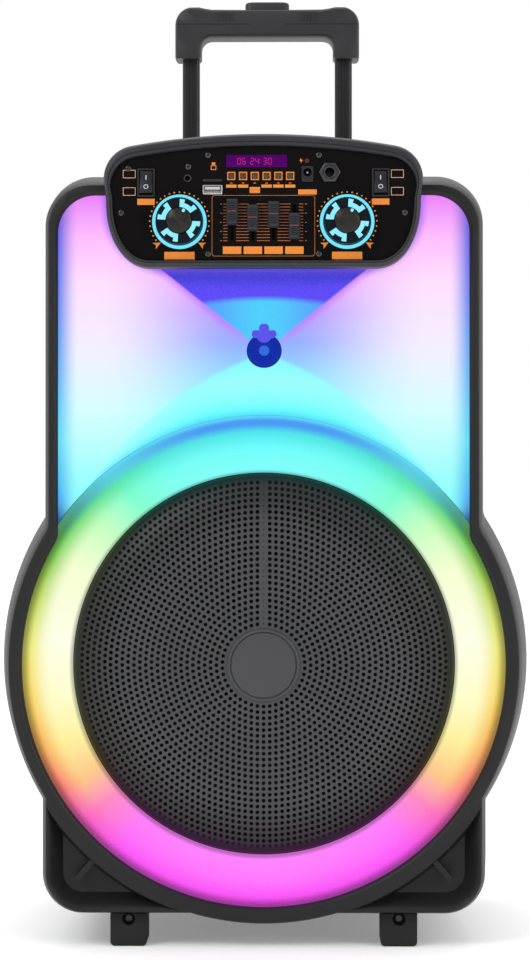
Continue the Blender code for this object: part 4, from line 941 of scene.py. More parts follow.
# --- Shells ---
def frame_section(depth, edge, inset=0.0):
    """The front frame's outside at a depth, with edge the draw-in of the rounded face edge."""
    share = (FRONT_DEPTH - max(depth, BEVEL_DEPTH)) / (FRONT_DEPTH - BEVEL_DEPTH)
    side, ring = SIDE_DRAFT * share, RING_DRAFT * share
    top = 2.2 * side + edge + inset
    return body_outline(side + edge + inset, ring + edge + inset, top, edge * 0.6 + inset)


def make_front_frame():
    """The front shell with its rounded face band, lower recesses and the hump behind the console."""
    edge = [(0.0, 4.0), (0.3, 3.3), (1.4, 2.6), (4.5, 1.5), (7.6, 0.5), (BEVEL_DEPTH, 0.0)]
    edge += [(FRONT_DEPTH, 0.0)]
    body = loft([(depth, frame_section(depth, inward)) for depth, inward in edge])
    hump = [(0.0, console_outline(2.0)), (60.0, console_outline(16.0, 14.0))]
    hump = [(depth, [(x, max(z, OPENING_TOP + 4.0)) for x, z in outline]) for depth, outline in hump]
    body = carved(body, loft(hump), operation="UNION")
    inner = [(BAND_DEPTH, frame_section(BAND_DEPTH, 0.0, WALL))]
    inner += [(FRONT_DEPTH + 1, frame_section(FRONT_DEPTH, 0.0, WALL))]
    lip = [(-1.0, LIP + 1.0), (0.0, LIP), (0.7, LIP * 0.62), (1.8, LIP * 0.25), (3.4, 0.0)]
    lip += [(BAND_DEPTH + 1, 0.0)]
    opening = loft([(depth, opening_outline(grow)) for depth, grow in lip])
    rebate = prism(opening_outline(REBATE), 4.0, BAND_DEPTH + 1)
    behind_console = prism(console_outline(12.0, 18.0), -1.0, BAND_DEPTH - 4.0)
    pockets = []
    for side in (1, -1):
        walls = [(-1.0, 2.4), (0.0, 3.0), (0.8, 4.3), (3.0, 6.4), (7.0, 9.4), (11.0, 12.2), (14.0, 15.0)]
        pockets.append(loft([(depth, corner_pocket(side, inset)) for depth, inset in walls]))
    body = carved(body, loft(inner), opening, rebate, behind_console, *pockets)
    ribs = []
    for side in (1, -1):
        x, z = side * 134.0, 58.5
        lean = math.atan2(z - RING_Z, x)
        outline = []
        for along, over in rounded(0, 0, 21.0, 4.6, 1.6, 3):
            turned_x = along * math.cos(lean) - over * math.sin(lean)
            outline.append((x + turned_x, z + along * math.sin(lean) + over * math.cos(lean)))
        face = [(x + (px - x) * 0.93, z + (pz - z) * 0.93) for px, pz in outline]
        ribs.append(loft([(2.2, face), (15.0, outline)]))
    body = carved(body, *ribs, operation="UNION")
    piece("front_shell", body, black, stands_for=("front_frame",))


def cabinet_section(depth, inset=0.0):
    shrink = 0.5 + 9.5 * (depth - FRONT_DEPTH) / 190.0
    rounding, left = 12.0, BACK_DEPTH - depth
    if left < rounding:
        shrink += rounding - math.sqrt(max(rounding**2 - (rounding - left) ** 2, 0.0))
    return body_outline(shrink + inset, shrink + inset, shrink + inset, inset)


def wheel_well(side, grow):
    inner = wheel.x - wheel.wide / 2 - 5.0 - grow
    near = wheel.depth - wheel.high / 2 - 5.0 - grow
    outer, far, high = HALF_WIDTH + 40.0, BACK_DEPTH + 10.0, wheel.high + 5.0 + grow
    return slab(side * (inner + outer) / 2, high / 2 - 5.0, outer - inner, high + 10.0, near, far)


def tube_outline(side, grow, radius):
    tube = Span("handle_tube_right")
    thick = tube.far - tube.near
    return rounded(side * tube.x, tube.depth, tube.wide + 2 * grow, thick + 2 * grow, radius, 6)


def make_rear_cabinet():
    """The rear shell: wheel wells, sleeve and port holes, and a shallow stepped seam behind the frame."""
    start, last = cabinet.near, BACK_DEPTH
    depths = [start, start + 3.0, last - 12.0, last - 9.6, last - 7.0, last - 4.6, last - 2.6, last - 1.1]
    outer = [(depth, cabinet_section(depth)) for depth in depths + [last - 0.3, last]]
    outer[0] = (start, cabinet_section(start + 3.0, 1.4))
    outer.insert(1, (start + 2.6, cabinet_section(start + 3.0, 1.2)))
    inner = [(start - 1.0, cabinet_section(start, CABINET_WALL + 0.6))]
    inner += [(last - 14.0, cabinet_section(last - 14.0, CABINET_WALL))]
    inner += [(last - CABINET_WALL, cabinet_section(last - 8.0, CABINET_WALL))]
    hollow = carved(loft(inner), wheel_well(1, CABINET_WALL), wheel_well(-1, CABINET_WALL))
    port = Span("bass_port")
    cutters = [hollow, wheel_well(1, 0.0), wheel_well(-1, 0.0)]
    cutters += [upright(tube_outline(side, 2.6, 4.6), TOP_Z - 40.0, TOP_Z + 20.0) for side in (1, -1)]
    cutters.append(prism(circle(port.x, port.z, port.wide / 2 + 0.3, 60), last - 12.0, last + 4.0))
    axle = circle(0, 0, 4.3, 24)
    rings = [[place(x, wheel.depth + a, wheel.z + b) for a, b in axle] for x in (-wheel.x, wheel.x)]
    cutters.append(skinned(rings))
    back_panel = rounded(0, 290.0, 236.0, 250.0, 16.0, 6)
    cutters.append(loft([(last - 1.6, back_panel), (last + 1.0, rounded(0, 290.0, 239.0, 253.0, 17.0, 6))]))
    body = carved(loft(outer), *cutters)
    piece("rear_shell", body, black, stands_for=("rear_cabinet",))


def screw_head(radius, thick, cross=0.5):
    """A pan head with a cross recess, facing the front, about the origin."""
    depth = -FRONT
    profile = [(0, depth - thick), (radius * 0.55, depth - thick), (radius * 0.86, depth - thick * 0.72)]
    profile += [(radius, depth - thick * 0.2), (radius, depth + 0.3), (0, depth + 0.3)]
    head = turned(profile, 0, 0, 20)
    arms = ((radius * 1.3, cross), (cross, radius * 1.3))
    return carved(head, *[slab(0, 0, a, b, depth - thick - 1, depth - thick * 0.35) for a, b in arms])


def flipped(bm):
    """The mesh turned round to face the back."""
    bmesh.ops.rotate(bm, verts=bm.verts, cent=(0, 0, 0), matrix=Matrix.Rotation(math.pi, 3, "Z"))
    return bm


def make_body_screws():
    """Case screws round the back, and the screws in the control plate."""
    rim = ((136, 250), (128, 430), (112, 552))
    back = [(side * x, BACK_DEPTH - 0.1, z) for side in (1, -1) for x, z in rim]
    back += [(side * 108, BACK_DEPTH - 1.7, z) for side in (1, -1) for z in (176, 290, 404)]
    back += [(0, BACK_DEPTH - 1.7, z) for z in (176, 404)]
    piece("case_screws", at_places(flipped(screw_head(3.4, 1.6, 0.9)), back), dark_steel)
    spots = [(-41.2, 592.8), (41.4, 592.8), (-55.8, 584.1), (-100.6, 582.7), (-106, 549.8), (105.4, 549.8)]
    spots += [(-41.1, 519), (41.4, 519)]
    spots = [(x, PLATE_FACE, z) for x, z in spots]
    piece("plate_screws", at_places(screw_head(2.1, 0.5, 0.5), spots), plate_steel)


# --- Lit pieces and grille ---
def horn_depth(x, z):
    """The nearest fold's depth, with the creases softened, but never in front of the band."""
    depths = fold_depths(abs(x), z, math.hypot(x, z - RING_Z))
    least = -HORN_SOFT * math.log(sum(math.exp(-depth / HORN_SOFT) for depth in depths))
    return max(least, HORN_LEAST)


def make_horn():
    """The faceted horn with softened folds and an even wall, open at the tweeter throat."""
    half, top = OPENING_HALF + REBATE - 0.3, OPENING_TOP + REBATE - 0.3
    corner, ring = OPENING_CORNER + REBATE - 0.3, SKIRT_EDGE
    low = math.degrees(math.acos((half - 1.0) / ring))
    low_z = RING_Z + ring * math.sin(math.radians(low)) + 6.0
    right = arc(0, RING_Z, ring, 90, low, 40)
    right += [(half, low_z + (top - corner - low_z) * i / 24) for i in range(25)]
    right += arc(half - corner, top - corner, corner, 0, 90, 14)
    right += [((half - corner) * (1 - i / 12), top) for i in range(1, 12)] + [(0.0, top)]
    outline = list(dict.fromkeys((round(x, 5), round(z, 5)) for x, z in mirrored(right)))
    columns, rows, margin = 140, 112, 6.0
    low_edge = min(z for _, z in outline) - margin
    across = [-half - margin + 2 * (half + margin) * i / columns for i in range(columns + 1)]
    heights = [low_edge + (top + margin - low_edge) * k / rows for k in range(rows + 1)]
    bm = bmesh.new()
    sheets = []
    for behind in (0.0, 2.5):
        sheet = [[bm.verts.new(place(x, horn_depth(x, z) + behind, z)) for x in across] for z in heights]
        for low_row, high_row in zip(sheet, sheet[1:]):
            for i in range(columns):
                bm.faces.new((low_row[i], low_row[i + 1], high_row[i + 1], high_row[i]))
        sheets.append(sheet)
    rims = []
    for sheet in sheets:
        rim = sheet[0] + [row[-1] for row in sheet[1:]] + sheet[-1][-2::-1]
        rims.append(rim + [row[0] for row in sheet[-2:0:-1]])
    for i in range(len(rims[0])):
        j = (i + 1) % len(rims[0])
        bm.faces.new((rims[0][i], rims[0][j], rims[1][j], rims[1][i]))
    panel = carved(closed(bm), prism(outline, 0.0, 90.0), operation="INTERSECT")
    panel = carved(panel, prism(circle(0, throat.z, 13.4, 72), 0.0, 90.0))
    piece("horn_panel", panel, horn_light, stands_for=("light_panel",), sharp=60)


def smooth_profile(points, steps=5):
    """A Catmull-Rom curve through (radius, depth) points."""
    padded = [points[0], *points, points[-1]]
    curve = []
    for a, b, c, d in zip(padded, padded[1:], padded[2:], padded[3:]):
        for i in range(steps):
            t = i / steps
            spot = []
            for p, q, r, s in zip(a, b, c, d):
                square, cube = 2 * p - 5 * q + 4 * r - s, 3 * q - p - 3 * r + s
                spot.append(0.5 * (2 * q + (r - p) * t + square * t**2 + cube * t**3))
            curve.append(tuple(spot))
    return curve + [points[-1]]


def make_ring():
    """The crowned light ring."""
    inner, outer = GRILLE_R + 0.9, ring_span.x1
    front = [(inner, 24.0), (inner, 13.2), (inner + 2.2, 11.2), (inner + 8, 8.8), (inner + 20, 7.6)]
    profile = smooth_profile(front + [(inner + 33, 10.8), (outer, 16.0)])
    profile += [(outer, 19.0), (inner + 32, 14.0), (inner + 20, 10.8), (inner + 9, 11.8), (inner + 3, 15.0)]
    profile += [(inner + 3, 24.0)]
    ring = turned(profile, 0, RING_Z, 180)
    piece("light_ring", ring, ring_light, stands_for=("ring_diffuser",), sharp=60)


def dome_depth(radius):
    return GRILLE_CREST + GRILLE_DROP * (1 - math.sqrt(1 - min(radius / GRILLE_R, 0.9999) ** 6))


def lattice_cell(hole):
    """One square cell of the sheet, with an eight-sided hole where hole is above zero."""
    bm = bmesh.new()
    square = [(0.5, 0.0), (0.5, 0.5), (0.0, 0.5), (-0.5, 0.5), (-0.5, 0.0), (-0.5, -0.5), (0.0, -0.5)]
    square += [(0.5, -0.5)]
    thick = GRILLE_THICK * MM
    outer = [[bm.verts.new((u, w, v)) for u, v in square] for w in (0.0, thick)]
    if hole <= 0:
        bm.faces.new(outer[0])
        bm.faces.new(list(reversed(outer[1])))
        return bm
    turns = [math.tau * i / 8 for i in range(8)]
    holes = []
    for w in (0.0, thick):
        spots = [(hole * math.cos(a) / CELL_STRETCH, w, hole * math.sin(a)) for a in turns]
        holes.append([bm.verts.new(spot) for spot in spots])
    for i in range(8):
        j = (i + 1) % 8
        bm.faces.new((outer[0][i], outer[0][j], holes[0][j], holes[0][i]))
        bm.faces.new((holes[0][i], holes[0][j], holes[1][j], holes[1][i]))
        bm.faces.new((holes[1][i], holes[1][j], outer[1][j], outer[1][i]))
    return bm


def make_grille():
    """Perforated steel dome: pierced field, plain middle under the badge and rolled plain rim."""
    seam = loose(lattice_cell(HOLE_SHARE * 0.3), "seam_cell")
    values = {"First_Ring": FIRST_RING, "Last_Ring": LAST_RING, "Pitch": HOLE_PITCH * MM}
    values |= {"Dome_Radius": GRILLE_R * MM, "Crest": GRILLE_CREST * MM, "Drop": GRILLE_DROP * MM}
    values |= {"Centre": place(0, 0, RING_Z)[:], "Seam": seam}
    field = grown(LATTICE, lattice_cell(HOLE_SHARE), **values)
    bpy.data.objects.remove(seam)
    inside, outside = (FIRST_RING - 0.5) * HOLE_PITCH, (LAST_RING + 0.5) * HOLE_PITCH
    radii = [outside + (GRILLE_R - outside) * i / 10 for i in range(11)]
    rim = [(r, dome_depth(r)) for r in radii] + [(GRILLE_R, 24.0), (GRILLE_R - GRILLE_THICK, 24.0)]
    rim += [(r - GRILLE_THICK * 0.7, dome_depth(r) + GRILLE_THICK) for r in reversed(radii[1:-1])]
    rim += [(outside, dome_depth(outside) + GRILLE_THICK)]
    middle = [(0, GRILLE_CREST), (inside, dome_depth(inside)), (inside, dome_depth(inside) + GRILLE_THICK)]
    middle += [(0, GRILLE_CREST + GRILLE_THICK)]
    whole = joined(field, turned(rim, 0, RING_Z, 186), turned(middle, 0, RING_Z, 96))
    piece("woofer_grille_sheet", whole, grille_paint, stands_for=("woofer_grille",))


def make_badge():
    """A plain disc with two turned grooves."""
    badge = Span("grille_badge")
    edge, face, back = badge.x1, badge.near, badge.far
    profile = [(0, face + 0.1), (edge - 3.4, face + 0.1), (edge - 3.2, face + 1.2), (edge - 2.6, face + 1.2)]
    profile += [(edge - 2.3, face + 0.1), (edge - 1.0, face), (edge - 0.3, face + 0.5)]
    profile += [(edge, face + 1.2), (edge, back), (0, back)]
    disc = turned(profile, 0, RING_Z, 128)
    piece("badge_disc", disc, grille_paint, stands_for=("grille_badge",))


def make_tweeter_lens():
    """The disc in the horn's throat with its small nub, and the three-lobed boss moulded over it."""
    edge, near, far = throat.x1, throat.near, throat.far
    disc = from_depth(near, (4.4, 1.5), (5.2, 1.2), (edge - 1.6, 1.2), (edge - 0.5, 1.5), (edge, 2.2))
    disc += [(edge, far), (0, far), (0, near + 1.6)]
    body = turned(disc, 0, throat.z, 72)
    # The disc's navy glow is a painted reflection of the horn's light on black plastic.
    piece("throat_disc", body, lens_navy, stands_for=("tweeter_lens",))
    nub = from_depth(near, (0, 0), (1.4, 0.1), (2.8, 0.5), (3.7, 1.2), (4.1, 1.7), (0, 1.7))
    # The nub's blue glow is a painted reflection as well.
    piece("throat_nub", turned(nub, 0, throat.z, 40), nub_blue)
    # The three-lobed boss glows violet with a painted shadow and reflection of the tweeter's holder.
    lobes = []
    for x, up, radius in ((-6.4, 12.6, 3.1), (0, 16.9, 3.9), (6.4, 12.6, 3.1), (0, 12.0, 6.0)):
        depth = horn_depth(x, throat.z + up)
        lobes.append(prism(circle(x, throat.z + up, radius, 30), depth - 1.0, depth + 1.6))
    boss = carved(lobes[0], *lobes[1:], operation="UNION")
    piece("horn_boss", eased(boss, 0.5, 2), lobe_violet)


# --- Console ---
BEZEL = console.x1 - plate.x1
BEZEL_CROWN = console.z1 - plate.z1
KNOB_SPAN, ROCKER_SPAN, ROCKER_FRAME = Span("knob_right"), Span("rocker_right"), Span("rocker_housing_right")
DISPLAY, USB, AUX = Span("display_window"), Span("usb_socket"), Span("aux_jack")
DC, MIC, MIC_NUT = Span("dc_jack"), Span("mic_jack"), Span("mic_jack_nut")
FADERS = [Span(f"fader_{i}") for i in (1, 2, 3, 4)]
BUTTONS = [Span(f"button_{i}") for i in (1, 2, 3, 4, 5, 6)]
FADER_Z = FADERS[1].z - 3.2
BUTTON_R = 2.1
LONG_LABEL = 3.6  # extra height of the label box under the third button
CARD_Z = USB.z + 7.0


def band(outline, inner, near, far):
    """A closed strip between two outlines with equally many points."""
    edges = ((outline, near), (outline, far), (inner, far), (inner, near))
    return skinned([[place(x, depth, z) for x, z in points] for points, depth in edges], looped=True)


def printed_at(outline):
    return prism(outline, PLATE_FACE - INK, PLATE_FACE + 0.05)


def printed_bar(x, z, wide, high):
    return printed_at(rectangle(x, z, wide, high))


def printed_box(x, z, wide, high, line, corner=0.6):
    inner = rounded(x, z, wide - 2 * line, high - 2 * line, max(corner - line, 0.1))
    return band(rounded(x, z, wide, high, corner), inner, PLATE_FACE - INK, PLATE_FACE + 0.05)


def make_console():
    """Raised bezel with a stepped crown, and the polished plate let into it."""
    near, far = console.near, console.far
    edge = [(near, 3.0), (near + 0.25, 2.2), (near + 0.8, 1.4), (near + 1.8, 0.7), (near + 4.0, 0.0)]
    body = loft([(depth, console_outline(inward)) for depth, inward in edge] + [(far, console_outline())])
    groove = band(console_outline(3.0, 5.6), console_outline(3.7, 6.4), near - 0.5, near + 0.7)
    steps = ((near - 0.5, 0.9), (near + 0.5, 0.6), (near + 1.6, 0.15), (PLATE_FACE + 2.7, 0.15))
    recess = [(depth, console_outline(BEZEL - out, BEZEL_CROWN - out)) for depth, out in steps]
    through = prism(console_outline(BEZEL + 3.0, BEZEL_CROWN + 3.0), near - 1, far + 1)
    housing = carved(body, groove, loft(recess), through)
    piece("console_bezel", housing, grey, stands_for=("console_housing",))

    near, far = PLATE_FACE - 1, PLATE_FACE + 4
    cutters = []
    for side in (1, -1):
        wide, high = ROCKER_FRAME.wide - 1.6, ROCKER_FRAME.high - 1.2
        cutters.append(slab(side * ROCKER_FRAME.x, ROCKER_FRAME.z, wide, high, near, far))
    for fader in FADERS:
        cutters.append(prism(rounded(fader.x, FADER_Z, 2.4, 26.6, 0.8), near, far))
    for button in BUTTONS:
        cutters.append(prism(circle(button.x, BUTTONS[0].z, BUTTON_R + 0.25, 24), near, far))
    for span in (DISPLAY, USB):
        cutters.append(slab(span.x, span.z, span.wide + 0.3, span.high + 0.3, near, far))
    cutters.append(prism(rounded(DC.x, DC.z, DC.wide + 0.3, DC.high + 0.3, 0.8), near, far))
    cutters.append(prism(rounded(USB.x, CARD_Z, 14.0, 1.2, 0.5), near, far))
    cutters.append(prism(circle(AUX.x, AUX.z, 3.3, 24), near, far))
    cutters.append(prism(circle(MIC.x, MIC.z, 5.0, 30), near, far))
    sheet = [(PLATE_FACE, 0.35), (PLATE_FACE + 0.35, 0.1), (PLATE_FACE + 2.5, 0.1)]
    sheet = [(depth, console_outline(BEZEL + grow, BEZEL_CROWN + grow)) for depth, grow in sheet]
    faceplate = carved(loft(sheet), *cutters)
    piece("control_plate", faceplate, gloss, stands_for=("control_faceplate",))


def arrow(x, z, heading, size):
    """A printed arrowhead with a notched tail, pointing along heading degrees."""
    points = [(1.0, 0.0), (-0.75, 0.8), (-0.3, 0.0), (-0.75, -0.8)]
    a = math.radians(heading)
    cos, sin = math.cos(a), math.sin(a)
    return [(x + size * (p * cos - q * sin), z + size * (p * sin + q * cos)) for p, q in points]


def make_prints():
    """Everything printed on the plate, with every label box left bare."""
    solid, lines, pale = [], [], []
    knob = KNOB_SPAN
    for side in (1, -1):
        x = side * knob.x
        solid.append(printed_bar(side * ROCKER_SPAN.x, 558.0, 13.0, 4.6))
        solid.append(printed_bar(x, 517.9, 22.5, 5.6))
        for way in (1, -1):
            solid.append(printed_at(arrow(x + way * 16.6, 526.2, 90 + way * 62, 3.2)))
        for z in (ROCKER_SPAN.z + 6.0, ROCKER_SPAN.z - 7.0):
            pale.append(printed_box(side * (ROCKER_SPAN.x + 12.5), z, 9.4, 6.1, 0.42, 0.3))
        dot = printed_at(circle(0, 22.1, 0.62, 10))
        solid.append(in_round(dot, 27, x, knob.z, -128, 256))
    for button in BUTTONS:
        tall = LONG_LABEL if button is BUTTONS[2] else 0.0
        solid.append(printed_box(button.x, button.z, 6.1, 6.1, 0.85, 0.3))
        solid.append(printed_bar(button.x, button.z - 7.6 - tall / 2, 7.7, 2.3))
        if tall:
            solid.append(printed_bar(button.x, button.z - 7.6 - tall * 1.1, 7.7, 2.3))
        solid.append(printed_bar(button.x, button.z - 5.3, 1.8, 0.5))
    for fader in FADERS:
        solid.append(printed_bar(fader.x, FADER_Z - 20.8, 13.7, 5.6))
    solid.append(printed_bar(DC.x, DC.z0 - 7.5, 13.8, 3.7))
    solid.append(printed_box(USB.x + 0.8, CARD_Z + 9.4, 4.0, 3.4, 0.5, 0.3))
    solid.append(printed_bar(USB.x + 0.8, CARD_Z + 12.4, 2.6, 1.8))
    bolt = [(28.2, 590.6), (26.9, 588.3), (28.1, 588.3), (27.9, 586.7), (29.5, 589.1), (28.3, 589.1)]
    solid.append(printed_at(bolt))

    lines.append(printed_box(0.1, FADER_Z - 2.6, 76.8, 45.5, 0.36, 2.2))
    step, count = 2.275, 13
    top = FADER_Z + 13.6
    centres = [(a.x + b.x) / 2 for a, b in zip(FADERS, FADERS[1:])]
    spans = [(x, 9.6) for x in centres] + [(FADERS[0].x - 5.0, 3.2), (FADERS[3].x + 5.0, 3.2)]
    for x, wide in spans:
        lines.append(in_row(printed_bar(x, top, wide, 0.42), count, (0, 0, -step)))
    for x in (FADERS[0].x - 8.2, FADERS[3].x + 8.6):
        for z in (top, top - 3 * step, top - 6 * step, top - 9 * step, top - 12 * step):
            lines.append(printed_bar(x, z, 1.3, 0.5))
    piece("plate_print_solid", joined(*solid), orange_ink)
    piece("plate_print_lines", joined(*lines), line_ink)
    piece("plate_print_boxes", joined(*pale), tan_ink)


def strokes(digit, x, z, high):
    """A seven-stroke digit about (x, z)."""
    lit_strokes = {0: "abcdef", 2: "abged", 3: "abgcd", 4: "fgbc", 6: "afgedc"}
    wide, line = high * 0.5, high * 0.12
    spots = {"a": (0, 1), "g": (0, 0), "d": (0, -1)}
    sides = {"f": (-1, 1), "b": (1, 1), "e": (-1, -1), "c": (1, -1)}
    made = []
    for name in lit_strokes[digit]:
        if name in spots:
            box = rectangle(x, z + spots[name][1] * high / 2, wide - line, line)
        else:
            across, up = sides[name]
            box = rectangle(x + across * wide / 2, z + up * high / 4, line, high / 2 - line)
        made.append(lit_mark(box))
    return made


def lit_mark(outline):
    return prism(outline, DISPLAY.near - 0.06, DISPLAY.near + 0.1)


def make_display():
    """A tinted window showing plain numbers."""
    window = plump_box(DISPLAY, 0.5, 0.25)
    piece("display_pane", window, window_violet, stands_for=("display_window",))
    made = []
    for i, digit in enumerate((0, 6, 2, 4, 3, 0)):
        gap = 2.2 * (i // 2)
        made += strokes(digit, DISPLAY.x - 13.0 + i * 3.7 + gap, DISPLAY.z - 0.2, 4.6)
    dots = [lit_mark(rectangle(DISPLAY.x + 2.45, DISPLAY.z - 0.2 + up, 0.55, 0.55)) for up in (-1.1, 1.1)]
    piece("display_digits", joined(*made, *dots), digit_pink)


def sector(x, z, inner, outer, middle, sweep, steps=8):
    """An annular sector, its middle turned clockwise from the top."""
    start, end = 90 - middle + sweep / 2, 90 - middle - sweep / 2
    return arc(x, z, outer, start, end, steps) + arc(x, z, inner, end, start, steps)


def make_knobs():
    """Each knob: a ribbed skirt, a turned dark face, four lit windows, a spun cap and a lit dot."""
    for side, name in SIDES:
        span = Span(f"knob_{name}")
        x, z, r = span.x, span.z, span.x1 - span.x
        near, far = span.near, span.far
        body = from_depth(near, (0, 0.9), (9.8, 0.9), (10.0, 1.3), (15.8, 1.3), (16.1, 0.7), (16.5, 0.35))
        body += from_depth(near, (16.95, 0.7), (r - 0.2, 1.8)) + [(r, far), (0, far)]
        rib = prism(rectangle(0, r - 0.35, 0.9, 0.8), near + 2.2, far - 0.1)
        ribs = in_round(rib, 49, x, z, 0, 360)
        skin = joined(turned(body, x, z, 96), ribs)
        piece(f"knob_body_{name}", skin, knob_dark, f"knob_{name}", (f"knob_{name}",))
        cap = from_depth(near, (0, 0.1), (4.0, 0), (8.4, 0.05), (9.2, 0.3), (9.6, 1.0), (0, 1.0))
        piece(f"knob_cap_{name}", turned(cap, x, z, 80), cap_metal, f"knob_{name}")
        windows = []
        for middle in (30, 120, 210, 300):
            depth = near + 1.0
            windows.append(prism(sector(x, z, 10.0, 13.4, middle, 54), depth, near + 1.5))
            for way in (-1, 1):
                windows.append(prism(sector(x, z, 13.4, 16.0, middle + way * 20.0, 14), depth, near + 1.5))
        a = math.radians(90 - 25.5)
        dx, dz = 7.9 * math.cos(a), 7.9 * math.sin(a)
        dot = from_depth(near, (0, 0.02), (1.1, 0.02), (1.45, 0.2), (1.5, 0.6), (0, 0.6))
        windows.append(turned(dot, x + dx, z + dz, 24))
        piece(f"knob_windows_{name}", joined(*windows), knob_light, f"knob_{name}")
        ring = Span(f"knob_light_ring_{name}")
        outer = ring.x1 - ring.x
        hoop = [(outer - 2.4, ring.far), (outer - 2.4, ring.near + 0.5), (outer - 2.0, ring.near)]
        hoop += [(outer - 0.9, ring.near), (outer - 0.2, ring.near + 0.7), (outer, ring.far)]
        node = f"knob_light_ring_{name}"
        glow = turned(hoop, ring.x, ring.z, 112)
        piece(f"knob_glow_{name}", glow, ring_lamp, stands_for=(node,))


def make_rockers():
    """Rocker switches with a dished paddle, pressed in at the top, and the bar and ring marks."""
    for side, name in SIDES:
        housing, paddle = Span(f"rocker_housing_{name}"), Span(f"rocker_{name}")
        x, z = housing.x, housing.z
        frame_body = plump_box(housing, 0.9, 0.4, PLATE_FACE - 0.3)
        inner = slab(x, z, housing.wide - 1.9, housing.high - 1.5, PLATE_FACE - 0.6, housing.far)
        frame_body = carved(frame_body, inner, operation="UNION")
        room = rounded(x, z, paddle.wide + 0.8, 18.6, 0.4)
        frame_body = carved(frame_body, prism(room, housing.near - 1, housing.far - 1.5))
        node = f"rocker_housing_{name}"
        piece(f"switch_frame_{name}", frame_body, control_plastic, stands_for=(node,))

        half, pivot, tilt = 8.5, PLATE_FACE + 1.0, math.radians(10)
        side_view = [(half * i / 8, -3.0 + 1.5 * (1 - (i / 8) ** 2)) for i in range(-8, 9)]
        side_view += [(half - 0.9, 3.0), (0, 4.8), (-half + 0.9, 3.0)]
        cos, sin = math.cos(tilt), math.sin(tilt)
        tilted = [(pivot + back * cos + up * sin, z + up * cos - back * sin) for up, back in side_view]
        ends = (x - paddle.wide / 2, x + paddle.wide / 2)
        rings = [[place(end, depth, height) for depth, height in tilted] for end in ends]
        lever = eased(skinned(rings), 0.35, 2, 50)
        node = f"rocker_{name}"
        piece(f"switch_paddle_{name}", lever, control_plastic, node, (node,))

        turn = Matrix.Translation(place(x, pivot, z)) @ Matrix.Rotation(-tilt, 4, "X")
        turn = turn @ Matrix.Translation(-place(x, pivot, z))
        bar = slab(x, z + 3.6, 0.7, 3.2, -1.0, 1.0)
        mark_ring = band(circle(x, z - 3.4, 1.8, 24), circle(x, z - 3.4, 1.25, 24), -1.0, 1.0)
        marks = joined(bar, mark_ring)
        for vertex in marks.verts:
            up = (vertex.co.z / MM - z) / half
            skin = pivot - 1.5 - 1.5 * up * up
            lift = -0.1 if vertex.co.y < FRONT * MM else 0.3
            vertex.co.y = (FRONT + skin + lift) * MM
        bmesh.ops.transform(marks, matrix=turn, verts=marks.verts)
        piece(f"switch_marks_{name}", marks, pale_ink, f"rocker_{name}")


def make_faders():
    """Ribbed slide caps with a coloured centre line, each on its stem."""
    for i, fader in enumerate(FADERS, start=1):
        x, z, near = fader.x, fader.z, fader.near
        wide, high = fader.wide, fader.high
        levels = [(near, 1.6, 2.0), (near + 0.3, 1.1, 1.2), (near + 1.5, 0.4, 0.5), (near + 6.0, 0.0, 0.0)]
        cap = loft([(depth, rounded(x, z, wide - 2 * a, high - 2 * b, 0.7)) for depth, a, b in levels])
        stem = slab(x, z, 1.6, 6.0, near + 5.5, fader.far)
        rows = []
        for way in (1, -1):
            rib = prism(rounded(x, z + way * 2.0, wide - 2.2, 0.66, 0.2, 3), near, near + 1.3)
            rows.append(in_row(rib, 5, (0, 0, way * 1.32)))
        cut = slab(x, z, wide + 1, high - 4.6, near - 0.5, near + 1.0)
        whole = joined(carved(cap, cut), stem, *rows)
        piece(f"fader_cap_{i}", whole, fader_grey, f"fader_{i}", (f"fader_{i}",))
        line = prism(rounded(x, z, wide - 2.2, 0.7, 0.2, 3), near, near + 1.3)
        piece(f"fader_line_{i}", line, fader_red, f"fader_{i}")


def make_buttons():
    """Small domed buttons."""
    for i, button in enumerate(BUTTONS, start=1):
        r, near = BUTTON_R, button.near
        profile = from_depth(near, (0, 0), (r * 0.5, 0.04), (r * 0.85, 0.22), (r, 0.6))
        profile += from_depth(PLATE_FACE, (r, 3.0), (3.1, 3.1), (3.1, 4.0), (r, 4.1))
        profile += [(r, button.far), (0, button.far)]
        body = turned(profile, button.x, button.z, 32)
        piece(f"button_cap_{i}", body, button_brown, f"button_{i}", (f"button_{i}",))


